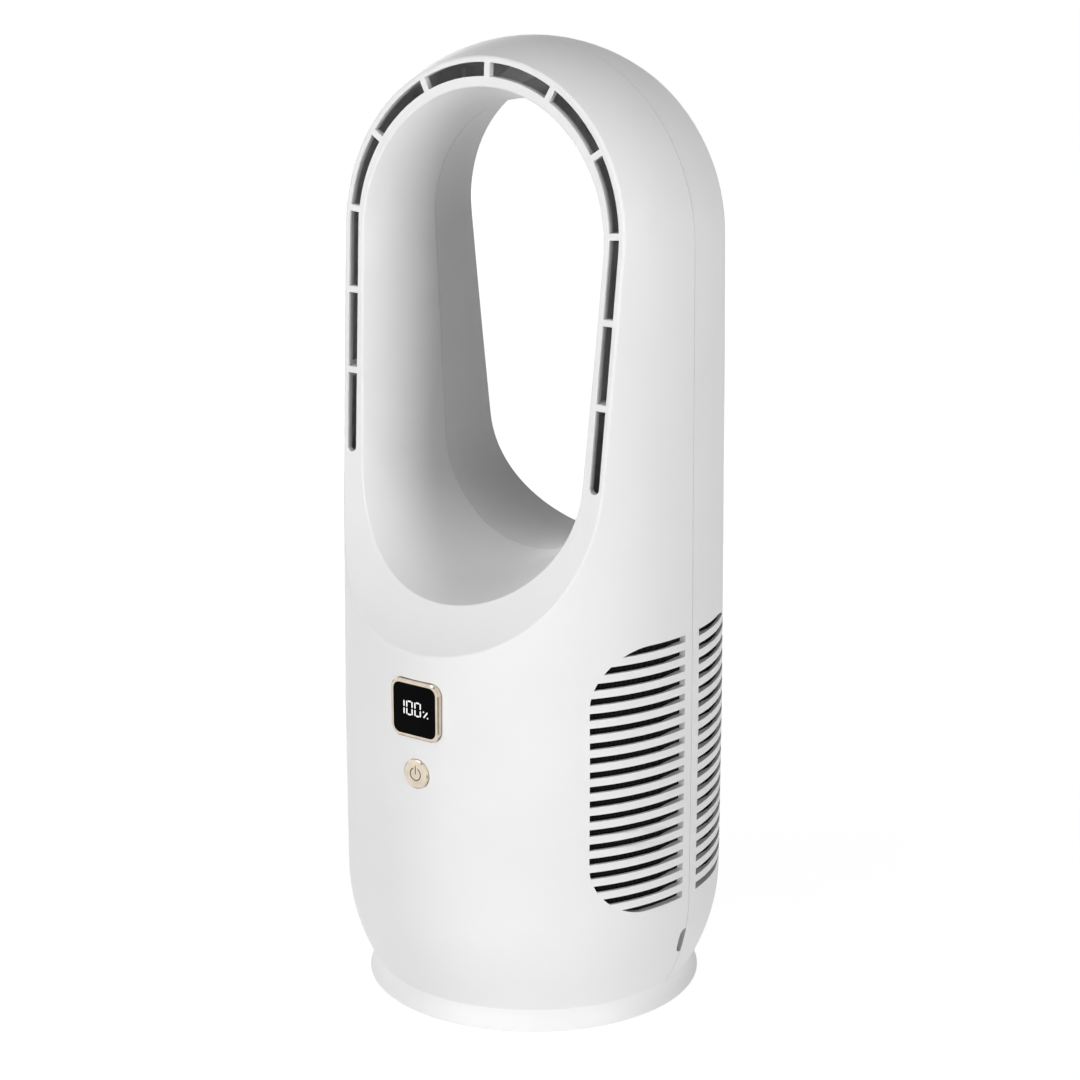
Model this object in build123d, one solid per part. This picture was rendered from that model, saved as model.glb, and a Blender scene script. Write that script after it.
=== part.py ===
from build123d import *
from math import atan, cos, degrees, radians, sin, sqrt
import os

# Bladeless table fan in millimetres.
# The origin is on the body axis at the floor, +Z is up and the front faces -Y.

# Case: a body of revolution with a round dome on top
BODY_RADIUS = 65.0
DOME_RADIUS = 63.3
DOME_BASE_Z = 261.9
DRAFT_START_Z = 100.0
FOOT_ARC_RADIUS = 67.0
FOOT_ARC_TOP_Z = 41.0
BODY_BOTTOM_Z = 8.0
WALL = 2.2
RIM_ROUND = 1.0
MOUTH_ROUND = 0.6

# Scooped face of the loop: a leaning plane that an arc carries down to the body
FACE_Y = -35.65
FACE_Z = 190.0
FACE_LEAN = 0.084
SCOOP_RADIUS = 88.0
SCOOP_OVERRUN = 17.0

# Tunnel through the loop: egg sections that flare from a throat at the seam
ARCH_CENTRE_Z = 264.0
LOW_CENTRE_Z = 190.0
THROAT_ARCH_RADIUS = 41.0
MOUTH_ARCH_RADIUS = 48.3
THROAT_LOW_HALF_WIDTH = 37.5
MOUTH_LOW_HALF_WIDTH = 45.1
THROAT_LOW_DROP = 37.0
MOUTH_LOW_DROP = 43.8
MOUTH_LOW_DEPTH = 51.0
TUNNEL_DRAFT = 0.08
TUNNEL_REACH = 72.0
TUNNEL_SECTIONS = 5

# Air slot in the front face, with its cross bars
SLOT_ARCH_RADIUS = 52.2
SLOT_TOP_WIDTH = 4.5
SLOT_SIDE_WIDTH = 3.7
SLOT_END_X = 49.8
SLOT_END_Z = 188.7
SLOT_BAR_WIDTH = 2.1
SLOT_BAR_ANGLE = 28.5
SLOT_ARCH_BARS = 4
SLOT_SIDE_BAR_PITCH = 26.8
SLOT_SIDE_BARS = 2
SLOT_CUT_MARGIN = 2.0

# Stiffening ribs inside the arch of the loop
RIB_THICKNESS = 1.2
RIB_SPACING = 19.0
RIB_FIRST_X = 14.25
RIB_PAIRS = 2
RIB_GAP = 10.0
RIB_SEAM_GAP = 6.0
RIB_FACE_GAP = 6.0

# Intake grilles: one panel on each side of the seam, both left and right
GRILLE_SLOTS = 19
GRILLE_PITCH = 5.0
GRILLE_SLOT_HEIGHT = 2.35
GRILLE_TOP_Z = 135.0
GRILLE_SEAM_GAP = 4.1
GRILLE_REACH = 39.7
GRILLE_CORNER_RADIUS = 19.0
GRILLE_WALL = 1.0
POCKET_MARGIN = 1.0
POCKET_SETBACK = 0.2
NET_MARGIN = 2.5
NET_THICKNESS = 0.3

# Step at the seam, where the front housing stands back from the rear one
SEAM_STEP_DEPTH = 0.2
SEAM_STEP_WIDTH = 0.3

# Slot at the seam, low on the right side, for prying the housings apart
PRY_NOTCH_WIDTH = 3.4
PRY_NOTCH_HEIGHT = 9.0
PRY_NOTCH_Z = 25.3
PRY_NOTCH_CORNER = 2.6

# Display, button and their board
DISPLAY_Z = 113.2
DISPLAY_SIZE = 19.8
DISPLAY_CORNER = 3.8
DISPLAY_PROUD = 0.9
BEZEL_WIDTH = 1.2
BEZEL_FLANGE = 1.6
BEZEL_FLANGE_THICKNESS = 1.2
LENS_THICKNESS = 1.5
LENS_RECESS = 0.25
BUTTON_Z = 91.0
BUTTON_DIAMETER = 10.0
BUTTON_PROUD = 0.8
BUTTON_TRAVEL = 0.6
BUTTON_FLANGE = 1.2
BUTTON_FLANGE_THICKNESS = 1.0
BUTTON_STEM_DIAMETER = 3.4
SYMBOL_RADIUS = 2.1
SYMBOL_LINE = 0.4
SYMBOL_DEPTH = 0.2
SYMBOL_GAP = 1.6
SYMBOL_BAR_TOP = 3.0
SWITCH_SIZE = 6.0
SWITCH_DEPTH = 2.6
PLUNGER_DIAMETER = 3.2
PLUNGER_PROUD = 0.9
PLUNGER_SEAT = 0.6
DISPLAY_BOARD_SETBACK = 9.0
DISPLAY_BOARD_WIDTH = 26.0
DISPLAY_BOARD_BOTTOM_Z = 82.5
DISPLAY_BOARD_TOP_Z = 129.5
BOARD_THICKNESS = 1.4
DISPLAY_POST_X = 10.8
DISPLAY_POST_RADIUS = 1.8
DISPLAY_POST_INSET = 2.0

# Base foot, its pads and screws
FOOT_FLOOR_INSET = 7.0
FOOT_NECK_INSET = 9.5
FOOT_FLANK_HOLLOW = 0.5
FOOT_PLATE_THICKNESS = 2.4
FOOT_RISE = 0.8
FOOT_RIM_HEIGHT = 3.5
FOOT_RIM_WALL = 1.6
PAD_RADIUS = 6.0
PAD_RECESS = 1.0
PAD_INSET = 14.0
BASE_SCREW_INSET = 6.6
BASE_SCREW_ANGLE = 60.0
BASE_BOSS_RADIUS = 3.4
BASE_BOSS_TOP_Z = 21.0
BASE_WEB = 2.0

# Screws used throughout
SCREW_RADIUS = 1.2
SCREW_HEAD_RADIUS = 2.3
SCREW_HEAD_HEIGHT = 1.4
SCREW_BITE = 7.0
SMALL_SCREW_RADIUS = 0.8
SMALL_SCREW_HEAD_RADIUS = 1.5
SMALL_SCREW_HEAD_HEIGHT = 1.0
SMALL_SCREW_BITE = 3.5

# Pegs that line the two housings up at the seam
PEG_RADIUS = 1.5
PEG_LENGTH = 4.5
PEG_POST_RADIUS = 2.9
PEG_LOW_Z = 37.0
PEG_LOW_INSET = 10.0
PEG_DECK_INSET = 9.5
PEG_LOOP_INSET = 13.8

# Deck that parts the intake from the loop, and the fan duct that hangs from it
DECK_Z = 137.0
DECK_THICKNESS = 2.2
DECK_LEDGE = 2.0
DECK_LEDGE_THICKNESS = 1.2
DUCT_SETBACK = 22.0
DUCT_WALL = 1.8
DUCT_BOTTOM_Z = 63.0
DUCT_FLANGE_WIDTH = 8.0
DUCT_FLANGE_THICKNESS = 2.0
DUCT_SCREWS = 6
BELL_RADIUS = 7.0
BELL_WALL = 1.6

# Motor and impeller
SHAFT_RADIUS = 1.5
SHAFT_BOTTOM_Z = 64.5
MOTOR_CUP_RADIUS = 24.0
MOTOR_CUP_WALL = 1.6
MOTOR_CUP_BOTTOM_Z = 98.0
MOTOR_CUP_TOP_Z = 124.0
STATOR_VANES = 9
STATOR_VANE_BOTTOM_Z = 102.0
STATOR_VANE_TOP_Z = 123.0
STATOR_VANE_TWIST = 26.0
VANE_THICKNESS = 1.5
BEARING_RADIUS = 4.0
BEARING_WIDTH = 4.0
BEARING_TUBE_WALL = 1.2
BEARING_TUBE_LIFT = 2.0
CORE_RADIUS = 13.0
CORE_HEIGHT = 9.0
CORE_LIFT = 2.0
CORE_TEETH = 9
CORE_HUB_RADIUS = 7.4
TOOTH_WIDTH = 2.4
TOOTH_TIP = 0.9
TOOTH_TIP_WIDTH = 7.2
COIL_THICKNESS = 0.9
COIL_GAP = 0.4
AIR_GAP = 0.5
MAGNET_THICKNESS = 1.6
MAGNET_OVERHANG = 0.5
SHAFT_END_GAP = 0.5
CAN_WALL = 1.0
CAN_BOTTOM_Z = 99.0
CAN_RIM_Z = 117.5
CAN_HUB_RADIUS = 3.6
CAN_HUB_LENGTH = 3.0
MOTOR_BOARD_RADIUS = 17.0
IMPELLER_BOTTOM_Z = 68.0
IMPELLER_TOP_Z = 95.0
IMPELLER_NOSE_RADIUS = 10.0
IMPELLER_WALL = 1.6
IMPELLER_BLADES = 9
IMPELLER_TWIST = 38.0
IMPELLER_TIP_GAP = 0.7
IMPELLER_SLEEVE_RADIUS = 3.8
NUT_HEIGHT = 2.6
NUT_RADIUS = 3.2

# Battery and boards
CELL_RADIUS = 9.2
CELL_LENGTH = 65.0
CELL_SPACING = 19.4
CELL_BOTTOM_Z = 14.0
CELL_CLEARANCE = 0.3
TRAY_THICKNESS = 2.0
TRAY_LENGTH = 74.0
TRAY_WIDTH = 56.0
TRAY_WALL = 1.6
TRAY_WALL_HEIGHT = 11.0
TRAY_POST_X = 33.0
TRAY_POST_Y = 24.0
TRAY_POST_RADIUS = 3.0
TAB_THICKNESS = 0.3
TAB_WIDTH = 8.0
CLAMP_WIDTH = 12.0
CLAMP_THICKNESS = 1.5
CLAMP_OFFSET = 18.0
MAIN_BOARD_Z = 38.0
CONNECTOR_LENGTH = 8.0
CONNECTOR_WIDTH = 5.0
CONNECTOR_HEIGHT = 4.0
CHARGE_BOARD_Z = 28.0
CHARGE_BOARD_WIDTH = 20.0
CHARGE_BOARD_LENGTH = 11.0
CHARGE_BOARD_SETBACK = 5.0
CHARGE_BRACKET_THICKNESS = 2.0
SOCKET_WIDTH = 9.0
SOCKET_HEIGHT = 3.2
SOCKET_LENGTH = 7.4
SOCKET_SETBACK = 1.4
SOCKET_WALL = 0.4
SOCKET_FLOOR = 1.0
BATTERY_CONNECTOR_X = 30.0
CONNECTOR_INSET = 5.0
CHARGE_CONNECTOR_X = 9.0
LEAD_RADIUS = 0.7
LEAD_BEND = 10.0
LEAD_TIGHT_BEND = 3.8
LEAD_DUCT_BEND = 6.0
BATTERY_LEAD_CLEARANCE = 5.5
MOTOR_LEAD_CLEARANCE = 2.5
CHARGE_LEAD_RUN = 11.0

# Clearances, how deep joined forms run into each other and how far cutters overrun
RUNNING_FIT = 0.03
SLIDE_FIT = 0.1
PART_GAP = 0.3
EMBED = 0.5
OVERCUT = 1.0

# Values worked out from the ones above
BODY_TO_DOME = BODY_RADIUS - DOME_RADIUS
FACE_ANGLE = atan(FACE_LEAN)
SCOOP_CENTRE_Y = FACE_Y - SCOOP_RADIUS * cos(FACE_ANGLE)
SCOOP_CENTRE_Z = FACE_Z + SCOOP_RADIUS * sin(FACE_ANGLE)
OUTSIDE = 2 * BODY_RADIUS
TOP_Z = DOME_BASE_Z + DOME_RADIUS
INNER_RADIUS = BODY_RADIUS - WALL
FOOT_FLOOR_RADIUS = BODY_RADIUS - FOOT_FLOOR_INSET
FOOT_NECK_RADIUS = BODY_RADIUS - FOOT_NECK_INSET
PAD_CIRCLE_RADIUS = FOOT_FLOOR_RADIUS - PAD_INSET
BASE_SCREW_CIRCLE_RADIUS = FOOT_NECK_RADIUS - BASE_SCREW_INSET
DUCT_BORE_RADIUS = BODY_RADIUS - DUCT_SETBACK
DUCT_RADIUS = DUCT_BORE_RADIUS + DUCT_WALL
DECK_TOP_Z = DECK_Z + DECK_THICKNESS
GRILLE_LOW_Z = GRILLE_TOP_Z - (GRILLE_SLOTS - 1) * GRILLE_PITCH - GRILLE_SLOT_HEIGHT
LAST_ARCH_BAR_ANGLE = (SLOT_ARCH_BARS - 1) * SLOT_BAR_ANGLE
LAST_ARCH_BAR_Z = ARCH_CENTRE_Z + SLOT_ARCH_RADIUS * cos(radians(LAST_ARCH_BAR_ANGLE))
PEG_LOW_X = BODY_RADIUS - PEG_LOW_INSET
PEG_DECK_X = BODY_RADIUS - PEG_DECK_INSET
PEG_DECK_Z = DECK_TOP_Z + PEG_POST_RADIUS
PEG_LOOP_X = BODY_RADIUS - PEG_LOOP_INSET
PEG_LOOP_Z = LAST_ARCH_BAR_Z - SLOT_SIDE_BARS * SLOT_SIDE_BAR_PITCH
BEARING_TUBE_RADIUS = BEARING_RADIUS + BEARING_TUBE_WALL
BEARING_TUBE_BOTTOM_Z = CAN_BOTTOM_Z + CAN_WALL + BEARING_TUBE_LIFT
CORE_BOTTOM_Z = BEARING_TUBE_BOTTOM_Z + CORE_LIFT
MAGNET_RADIUS = CORE_RADIUS + AIR_GAP + MAGNET_THICKNESS
CAN_RADIUS = MAGNET_RADIUS + CAN_WALL
CUP_LID_Z = MOTOR_CUP_TOP_Z - MOTOR_CUP_WALL
CELL_Z = CELL_BOTTOM_Z + CELL_RADIUS
CELL_TOP_Z = CELL_BOTTOM_Z + 2 * CELL_RADIUS
TRAY_Z = CELL_BOTTOM_Z - TRAY_THICKNESS
FOOT_PLATE_TOP_Z = FOOT_RISE + FOOT_PLATE_THICKNESS
TRAY_INNER_X = CELL_LENGTH / 2 + TAB_THICKNESS + CELL_CLEARANCE
TRAY_INNER_Y = CELL_SPACING / 2 + CELL_RADIUS + CELL_CLEARANCE
TRAY_WALL_TOP_Z = CELL_BOTTOM_Z + TRAY_WALL_HEIGHT
DISPLAY_FRONT_Y = -BODY_RADIUS - DISPLAY_PROUD
DISPLAY_BOARD_Y = -BODY_RADIUS + DISPLAY_BOARD_SETBACK
CHARGE_BOARD_BACK_Y = BODY_RADIUS - CHARGE_BOARD_SETBACK
CHARGE_BOARD_FRONT_Y = CHARGE_BOARD_BACK_Y - CHARGE_BOARD_LENGTH
SOCKET_FRONT_Y = BODY_RADIUS - SOCKET_SETBACK
SOCKET_Z = CHARGE_BOARD_Z + BOARD_THICKNESS + SOCKET_HEIGHT / 2
LENS_SIZE = DISPLAY_SIZE - 2 * BEZEL_WIDTH
LENS_FRONT_Y = DISPLAY_FRONT_Y + LENS_RECESS
BUTTON_FRONT_Y = -BODY_RADIUS - BUTTON_PROUD
FRONT_SCREW_ANGLES = (-BASE_SCREW_ANGLE, BASE_SCREW_ANGLE - 180)
REAR_SCREW_ANGLES = (BASE_SCREW_ANGLE, 180 - BASE_SCREW_ANGLE)


# Basic solids

def rod(radius, z0, z1, x=0.0, y=0.0):
    """Upright cylinder from z0 to z1."""
    return Pos(x, y, (z0 + z1) / 2) * Cylinder(radius, z1 - z0)


def ring(outer, inner, z0, z1):
    """Upright tube round the body axis from z0 to z1."""
    return rod(outer, z0, z1) - rod(inner, z0 - OVERCUT, z1 + OVERCUT)


def rod_y(radius, y0, y1, x, z):
    """Cylinder along Y from y0 to y1."""
    return Pos(x, (y0 + y1) / 2, z) * Rot(90, 0, 0) * Cylinder(radius, y1 - y0)


def block(x0, x1, y0, y1, z0, z1):
    """Box between two corners."""
    centre = Pos((x0 + x1) / 2, (y0 + y1) / 2, (z0 + z1) / 2)
    return centre * Box(x1 - x0, y1 - y0, z1 - z0)


def facing_front(y, z):
    """Upright plane that faces the front, at a Y and a height."""
    return Plane(origin=(0, y, z), x_dir=(1, 0, 0), z_dir=(0, -1, 0))


def plate_y(size, corner, y0, y1, z):
    """Rounded square plate square to Y."""
    return extrude(facing_front(y1, z) * RectangleRounded(size, size, corner), y1 - y0)


def revolved(*edges, turn=360):
    """Solid turned about the body axis from a closed profile in the XZ plane."""
    return revolve(Face(Wire(edges)), Axis.Z, turn)


def line(p, q):
    """Edge between two points of the XZ plane."""
    return Edge.make_line((p[0], 0, p[1]), (q[0], 0, q[1]))


def arc(p, q, r):
    """Arc through three points of the XZ plane."""
    return Edge.make_three_point_arc((p[0], 0, p[1]), (q[0], 0, q[1]), (r[0], 0, r[1]))


def screw(x, y, z, length):
    """Upright pan-head screw whose head sits below z and whose thread points up."""
    return rod(SCREW_RADIUS, z, z + length, x, y) + rod(SCREW_HEAD_RADIUS, z - SCREW_HEAD_HEIGHT, z, x, y)


def both_sides(solid):
    """The solid and its mirror image in the YZ plane."""
    return [solid, mirror(solid, Plane.YZ)]


def on_circle(radius, angles):
    """X and Y of points round the body axis, at angles in degrees."""
    return [(radius * cos(radians(angle)), radius * sin(radians(angle))) for angle in angles]


# Forms that the case is cut from

def foot_arc_x(z, inset):
    """Radius of the rounded lower body at height z."""
    centre = BODY_RADIUS - FOOT_ARC_RADIUS
    return centre + sqrt((FOOT_ARC_RADIUS - inset) ** 2 - (z - FOOT_ARC_TOP_Z) ** 2)


def body_radius(z):
    """Outer radius of the case at height z, below the dome."""
    if z < FOOT_ARC_TOP_Z:
        return foot_arc_x(z, 0)
    if z < DRAFT_START_Z:
        return BODY_RADIUS
    return BODY_RADIUS - BODY_TO_DOME * (z - DRAFT_START_Z) / (DOME_BASE_Z - DRAFT_START_Z)


def envelope_half(inset=0.0, bottom=BODY_BOTTOM_Z):
    """Front half of the body of revolution, drawn in by an inset, from a bottom to the dome."""
    r = BODY_RADIUS - inset
    dome = DOME_RADIUS - inset
    low = (foot_arc_x(BODY_BOTTOM_Z, inset), BODY_BOTTOM_Z)
    mid_z = (BODY_BOTTOM_Z + FOOT_ARC_TOP_Z) / 2
    diagonal = dome * cos(radians(45))
    edges = [
        arc(low, (foot_arc_x(mid_z, inset), mid_z), (r, FOOT_ARC_TOP_Z)),
        line((r, FOOT_ARC_TOP_Z), (r, DRAFT_START_Z)),
        line((r, DRAFT_START_Z), (dome, DOME_BASE_Z)),
        arc((dome, DOME_BASE_Z), (diagonal, DOME_BASE_Z + diagonal), (0, DOME_BASE_Z + dome)),
        line((0, DOME_BASE_Z + dome), (0, bottom)),
        line((0, bottom), (low[0], bottom)),
    ]
    if bottom < BODY_BOTTOM_Z:
        edges.append(line((low[0], bottom), low))
    return Rot(0, 0, 180) * revolved(*edges, turn=180)


def scoop_y(z, depth=0.0):
    """Y of the scooped front face at height z, set back by a depth."""
    radius = SCOOP_RADIUS + depth
    tangent_z = SCOOP_CENTRE_Z - radius * sin(FACE_ANGLE)
    if z >= tangent_z:
        return SCOOP_CENTRE_Y + radius * cos(FACE_ANGLE) + (z - tangent_z) * FACE_LEAN
    return SCOOP_CENTRE_Y + sqrt(radius ** 2 - (z - SCOOP_CENTRE_Z) ** 2)


def scoop(depth=0.0):
    """All that lies in front of the scooped face, set back by a depth."""
    radius = SCOOP_RADIUS + depth
    low_y = -BODY_RADIUS - SCOOP_OVERRUN
    low_z = SCOOP_CENTRE_Z - sqrt(radius ** 2 - (low_y - SCOOP_CENTRE_Y) ** 2)
    tangent_z = SCOOP_CENTRE_Z - radius * sin(FACE_ANGLE)
    middle_z = (low_z + tangent_z) / 2
    high_z = TOP_Z + WALL
    low = (-OUTSIDE, low_y, low_z)
    middle = (-OUTSIDE, scoop_y(middle_z, depth), middle_z)
    tangent = (-OUTSIDE, scoop_y(tangent_z, depth), tangent_z)
    high = (-OUTSIDE, scoop_y(high_z, depth), high_z)
    corner = (-OUTSIDE, low_y, high_z)
    edges = [
        Edge.make_three_point_arc(low, middle, tangent),
        Edge.make_line(tangent, high),
        Edge.make_line(high, corner),
        Edge.make_line(corner, low),
    ]
    return extrude(Face(Wire(edges)), 2 * OUTSIDE, dir=(1, 0, 0))


def flare(y, throat, mouth, depth):
    """Size of the tunnel at a distance y from the seam: a moulding draft, then a growing flare."""
    share = y / depth
    return throat + TUNNEL_DRAFT * y + (mouth - throat - TUNNEL_DRAFT * depth) * share ** 2


def egg_section(y, grow):
    """Closed outline of the tunnel at -y: a round arch and a half ellipse joined by tangents."""
    arch = grow + flare(y, THROAT_ARCH_RADIUS, MOUTH_ARCH_RADIUS, -scoop_y(ARCH_CENTRE_Z))
    width = grow + flare(y, THROAT_LOW_HALF_WIDTH, MOUTH_LOW_HALF_WIDTH, -scoop_y(LOW_CENTRE_Z))
    drop = grow + flare(y, THROAT_LOW_DROP, MOUTH_LOW_DROP, MOUTH_LOW_DEPTH)
    slope = (arch - width) / (ARCH_CENTRE_Z - LOW_CENTRE_Z)
    reach = width
    for _ in range(20):
        reach = sqrt((width * cos(slope)) ** 2 + (drop * sin(slope)) ** 2)
        slope = (arch - reach) / (ARCH_CENTRE_Z - LOW_CENTRE_Z)
    high = (arch * cos(slope), ARCH_CENTRE_Z - arch * sin(slope))
    low = (width ** 2 * cos(slope) / reach, LOW_CENTRE_Z - drop ** 2 * sin(slope) / reach)
    turn = degrees(atan((LOW_CENTRE_Z - low[1]) / drop / (low[0] / width)))
    bowl = Edge.make_ellipse(
        width, drop,
        plane=facing_front(-y, LOW_CENTRE_Z),
        start_angle=180 + turn, end_angle=360 - turn,
    )
    right = (high[0], -y, high[1])
    left = (-high[0], -y, high[1])
    return Wire([
        Edge.make_three_point_arc(right, (0, -y, ARCH_CENTRE_Z + arch), left),
        Edge.make_line(left, bowl @ 0),
        bowl,
        Edge.make_line(bowl @ 1, right),
    ])


def tunnel(grow=0.0):
    """Front half of the tunnel, from the throat at the seam to past the front face."""
    step = TUNNEL_REACH / (TUNNEL_SECTIONS - 1)
    return Solid.make_loft([egg_section(i * step, grow) for i in range(TUNNEL_SECTIONS)])


def case_half():
    """Solid front half of the case, with the rims of the mouth and of the face rounded."""
    half = envelope_half() - scoop() - tunnel()
    inside = envelope_half(WALL)
    for at_mouth, radius in ((True, MOUTH_ROUND), (False, RIM_ROUND)):
        rims = [edge for edge in half.edges() if on_scoop(edge)]
        half = fillet([rim for rim in rims if inside.is_inside(rim @ 0.5) == at_mouth], radius)
    return half


def on_scoop(edge):
    """Whether an edge runs along the scooped face."""
    lowest = SCOOP_CENTRE_Z - SCOOP_RADIUS
    points = (edge @ 0.1, edge @ 0.5, edge @ 0.9)
    return all(point.Z > lowest and abs(point.Y - scoop_y(point.Z)) < 0.01 for point in points)


def cavity_half():
    """Hollow inside the front half of the case."""
    return envelope_half(WALL, bottom=0) - scoop(WALL) - tunnel(WALL)


def middle_half():
    """Front half of the case up to the middle of its wall, which inner features end in."""
    return envelope_half(WALL / 2) - scoop(WALL / 2)


def slot_outline(sign):
    """One long edge of the air slot: +1 is the outer one, -1 the inner one."""
    side = SLOT_ARCH_RADIUS + sign * SLOT_SIDE_WIDTH / 2
    top = SLOT_ARCH_RADIUS + sign * SLOT_TOP_WIDTH / 2
    end = SLOT_END_X + sign * SLOT_SIDE_WIDTH / 2
    arch = Edge.make_ellipse(
        side, top,
        plane=facing_front(0, ARCH_CENTRE_Z),
        start_angle=0, end_angle=180,
    )
    right = line((end, SLOT_END_Z), (side, ARCH_CENTRE_Z))
    left = line((-side, ARCH_CENTRE_Z), (-end, SLOT_END_Z))
    bottom = line((-end, SLOT_END_Z), (end, SLOT_END_Z))
    return Face(Wire([right, arch, left, bottom]))


def air_slots():
    """Cutter for the air slot, with the cross bars left standing."""
    front = -BODY_RADIUS
    back = scoop_y(TOP_Z, WALL) + SLOT_CUT_MARGIN
    band = extrude(slot_outline(1) - slot_outline(-1), BODY_RADIUS, dir=(0, -1, 0))
    band -= block(-OUTSIDE, OUTSIDE, back, OUTSIDE, 0, TOP_Z)
    for end in both_sides(rod_y(SLOT_SIDE_WIDTH / 2, front, back, SLOT_END_X, SLOT_END_Z)):
        band += end
    half = SLOT_BAR_WIDTH / 2
    low = SLOT_ARCH_RADIUS - SLOT_TOP_WIDTH
    high = SLOT_ARCH_RADIUS + SLOT_TOP_WIDTH
    bar = block(-half, half, -OUTSIDE, 0, low, high)
    for i in range(SLOT_ARCH_BARS):
        for turn in {i * SLOT_BAR_ANGLE, -i * SLOT_BAR_ANGLE}:
            band -= Pos(0, 0, ARCH_CENTRE_Z) * Rot(0, turn, 0) * bar
    for i in range(1, SLOT_SIDE_BARS + 1):
        z = LAST_ARCH_BAR_Z - i * SLOT_SIDE_BAR_PITCH
        band -= block(-OUTSIDE, OUTSIDE, -OUTSIDE, 0, z - half, z + half)
    return band


def grille_panel():
    """Cutter for the slots of one grille panel, right of the body and in front of the seam."""
    panel = block(BODY_RADIUS / 2, OUTSIDE, -GRILLE_REACH, -GRILLE_SEAM_GAP, GRILLE_LOW_Z, GRILLE_TOP_Z)
    far = panel.edges().filter_by(Axis.X).group_by(Axis.Y)[0]
    panel = fillet(far, GRILLE_CORNER_RADIUS)
    slots = []
    for i in range(GRILLE_SLOTS):
        top = GRILLE_TOP_Z - i * GRILLE_PITCH
        layer = block(0, OUTSIDE, -OUTSIDE, 0, top - GRILLE_SLOT_HEIGHT, top)
        slots.append(panel & layer)
    return slots


def grille_pocket():
    """Hollow that thins the wall behind the slats of one grille panel."""
    layer = envelope_half(GRILLE_WALL) - envelope_half(WALL)
    inset = GRILLE_SLOT_HEIGHT / 2
    right = body_radius(GRILLE_TOP_Z) - WALL - POCKET_SETBACK
    front = -GRILLE_REACH - POCKET_MARGIN
    return layer & block(BODY_RADIUS / 2, right, front, 0, GRILLE_LOW_Z + inset, GRILLE_TOP_Z - inset)


def deck_ledge():
    """Half ring inside a housing that the deck rests on."""
    low = DECK_Z - DECK_LEDGE_THICKNESS
    wall = body_radius(DECK_Z) - WALL
    ledge = ring(wall + EMBED, wall - DECK_LEDGE, low, DECK_Z)
    return ledge & middle_half()


def base_bosses():
    """Posts in the foot of a housing half that take the base screws."""
    post = rod(BASE_BOSS_RADIUS, FOOT_PLATE_TOP_Z, BASE_BOSS_TOP_Z)
    web_low = BODY_BOTTOM_Z + FOOT_RIM_HEIGHT + OVERCUT
    web = block(0, BODY_RADIUS / 4, -BASE_WEB / 2, BASE_WEB / 2, web_low, BASE_BOSS_TOP_Z)
    inside = envelope_half(WALL / 2, bottom=0)
    posts = []
    for angle in FRONT_SCREW_ANGLES:
        place = Rot(0, 0, angle) * Pos(BASE_SCREW_CIRCLE_RADIUS, 0, 0)
        posts.append(place * (post + web) & inside)
    return posts


def base_boss_bores():
    """Pilot holes of the base bosses."""
    places = on_circle(BASE_SCREW_CIRCLE_RADIUS, FRONT_SCREW_ANGLES)
    return [rod(SCREW_RADIUS, 0, FOOT_PLATE_TOP_Z + SCREW_BITE + OVERCUT, x, y) for x, y in places]


def peg_places():
    """X and Z of the pegs that line the housings up."""
    right = [(PEG_LOW_X, PEG_LOW_Z), (PEG_DECK_X, PEG_DECK_Z), (PEG_LOOP_X, PEG_LOOP_Z)]
    return right + [(-x, z) for x, z in right]


def peg_posts():
    """Posts that run from the wall of a housing half to the seam."""
    inside = middle_half()
    return [rod_y(PEG_POST_RADIUS, -BODY_RADIUS, 0, x, z) & inside for x, z in peg_places()]


def loop_ribs():
    """Upright ribs on the outer wall of the arch, short of the tunnel wall and of the air slot."""
    inside = middle_half() - scoop(WALL + RIB_FACE_GAP) - tunnel(WALL + RIB_GAP)
    half = RIB_THICKNESS / 2
    low = ARCH_CENTRE_Z + MOUTH_ARCH_RADIUS / 3
    ribs = []
    for i in range(RIB_PAIRS):
        x = RIB_FIRST_X + i * RIB_SPACING
        rib = block(x - half, x + half, -BODY_RADIUS, -RIB_SEAM_GAP, low, TOP_Z)
        ribs += both_sides(rib & inside)
    return ribs


def housing_half():
    """What the two housings share: shell, deck ledge, bosses, posts, ribs and side grilles."""
    shell = case_half() - cavity_half()
    for piece in [deck_ledge(), *base_bosses(), *peg_posts(), *loop_ribs()]:
        shell += piece
    for bore in base_boss_bores():
        shell -= bore
    for slot in [grille_pocket(), *grille_panel()]:
        for cutter in both_sides(slot):
            shell -= cutter
    return shell


# Housings

def display_post_places():
    """X and Z of the posts that carry the display board."""
    low = DISPLAY_BOARD_BOTTOM_Z + DISPLAY_POST_INSET
    high = DISPLAY_BOARD_TOP_Z - DISPLAY_POST_INSET
    return [(x, z) for x in (-DISPLAY_POST_X, DISPLAY_POST_X) for z in (low, high)]


def front_housing(half):
    """Front shell: the air slot, the display and button openings and the display posts."""
    shell = half - air_slots()
    for x, z in display_post_places():
        post = rod_y(DISPLAY_POST_RADIUS, -BODY_RADIUS, DISPLAY_BOARD_Y, x, z) & envelope_half(WALL / 2)
        shell += post
        shell -= rod_y(SMALL_SCREW_RADIUS, DISPLAY_BOARD_Y - SMALL_SCREW_BITE, 0, x, z)
    window = DISPLAY_SIZE + 2 * SLIDE_FIT
    back = -BODY_RADIUS + 2 * WALL
    shell -= plate_y(window, DISPLAY_CORNER + SLIDE_FIT, -OUTSIDE, back, DISPLAY_Z)
    shell -= rod_y(BUTTON_DIAMETER / 2 + SLIDE_FIT, -OUTSIDE, back, 0, BUTTON_Z)
    for x, z in peg_places():
        shell -= rod_y(PEG_RADIUS + SLIDE_FIT, -PEG_LENGTH - PART_GAP, OVERCUT, x, z)
    for step in seam_steps():
        shell -= step
    return shell - pry_notch()


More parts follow.
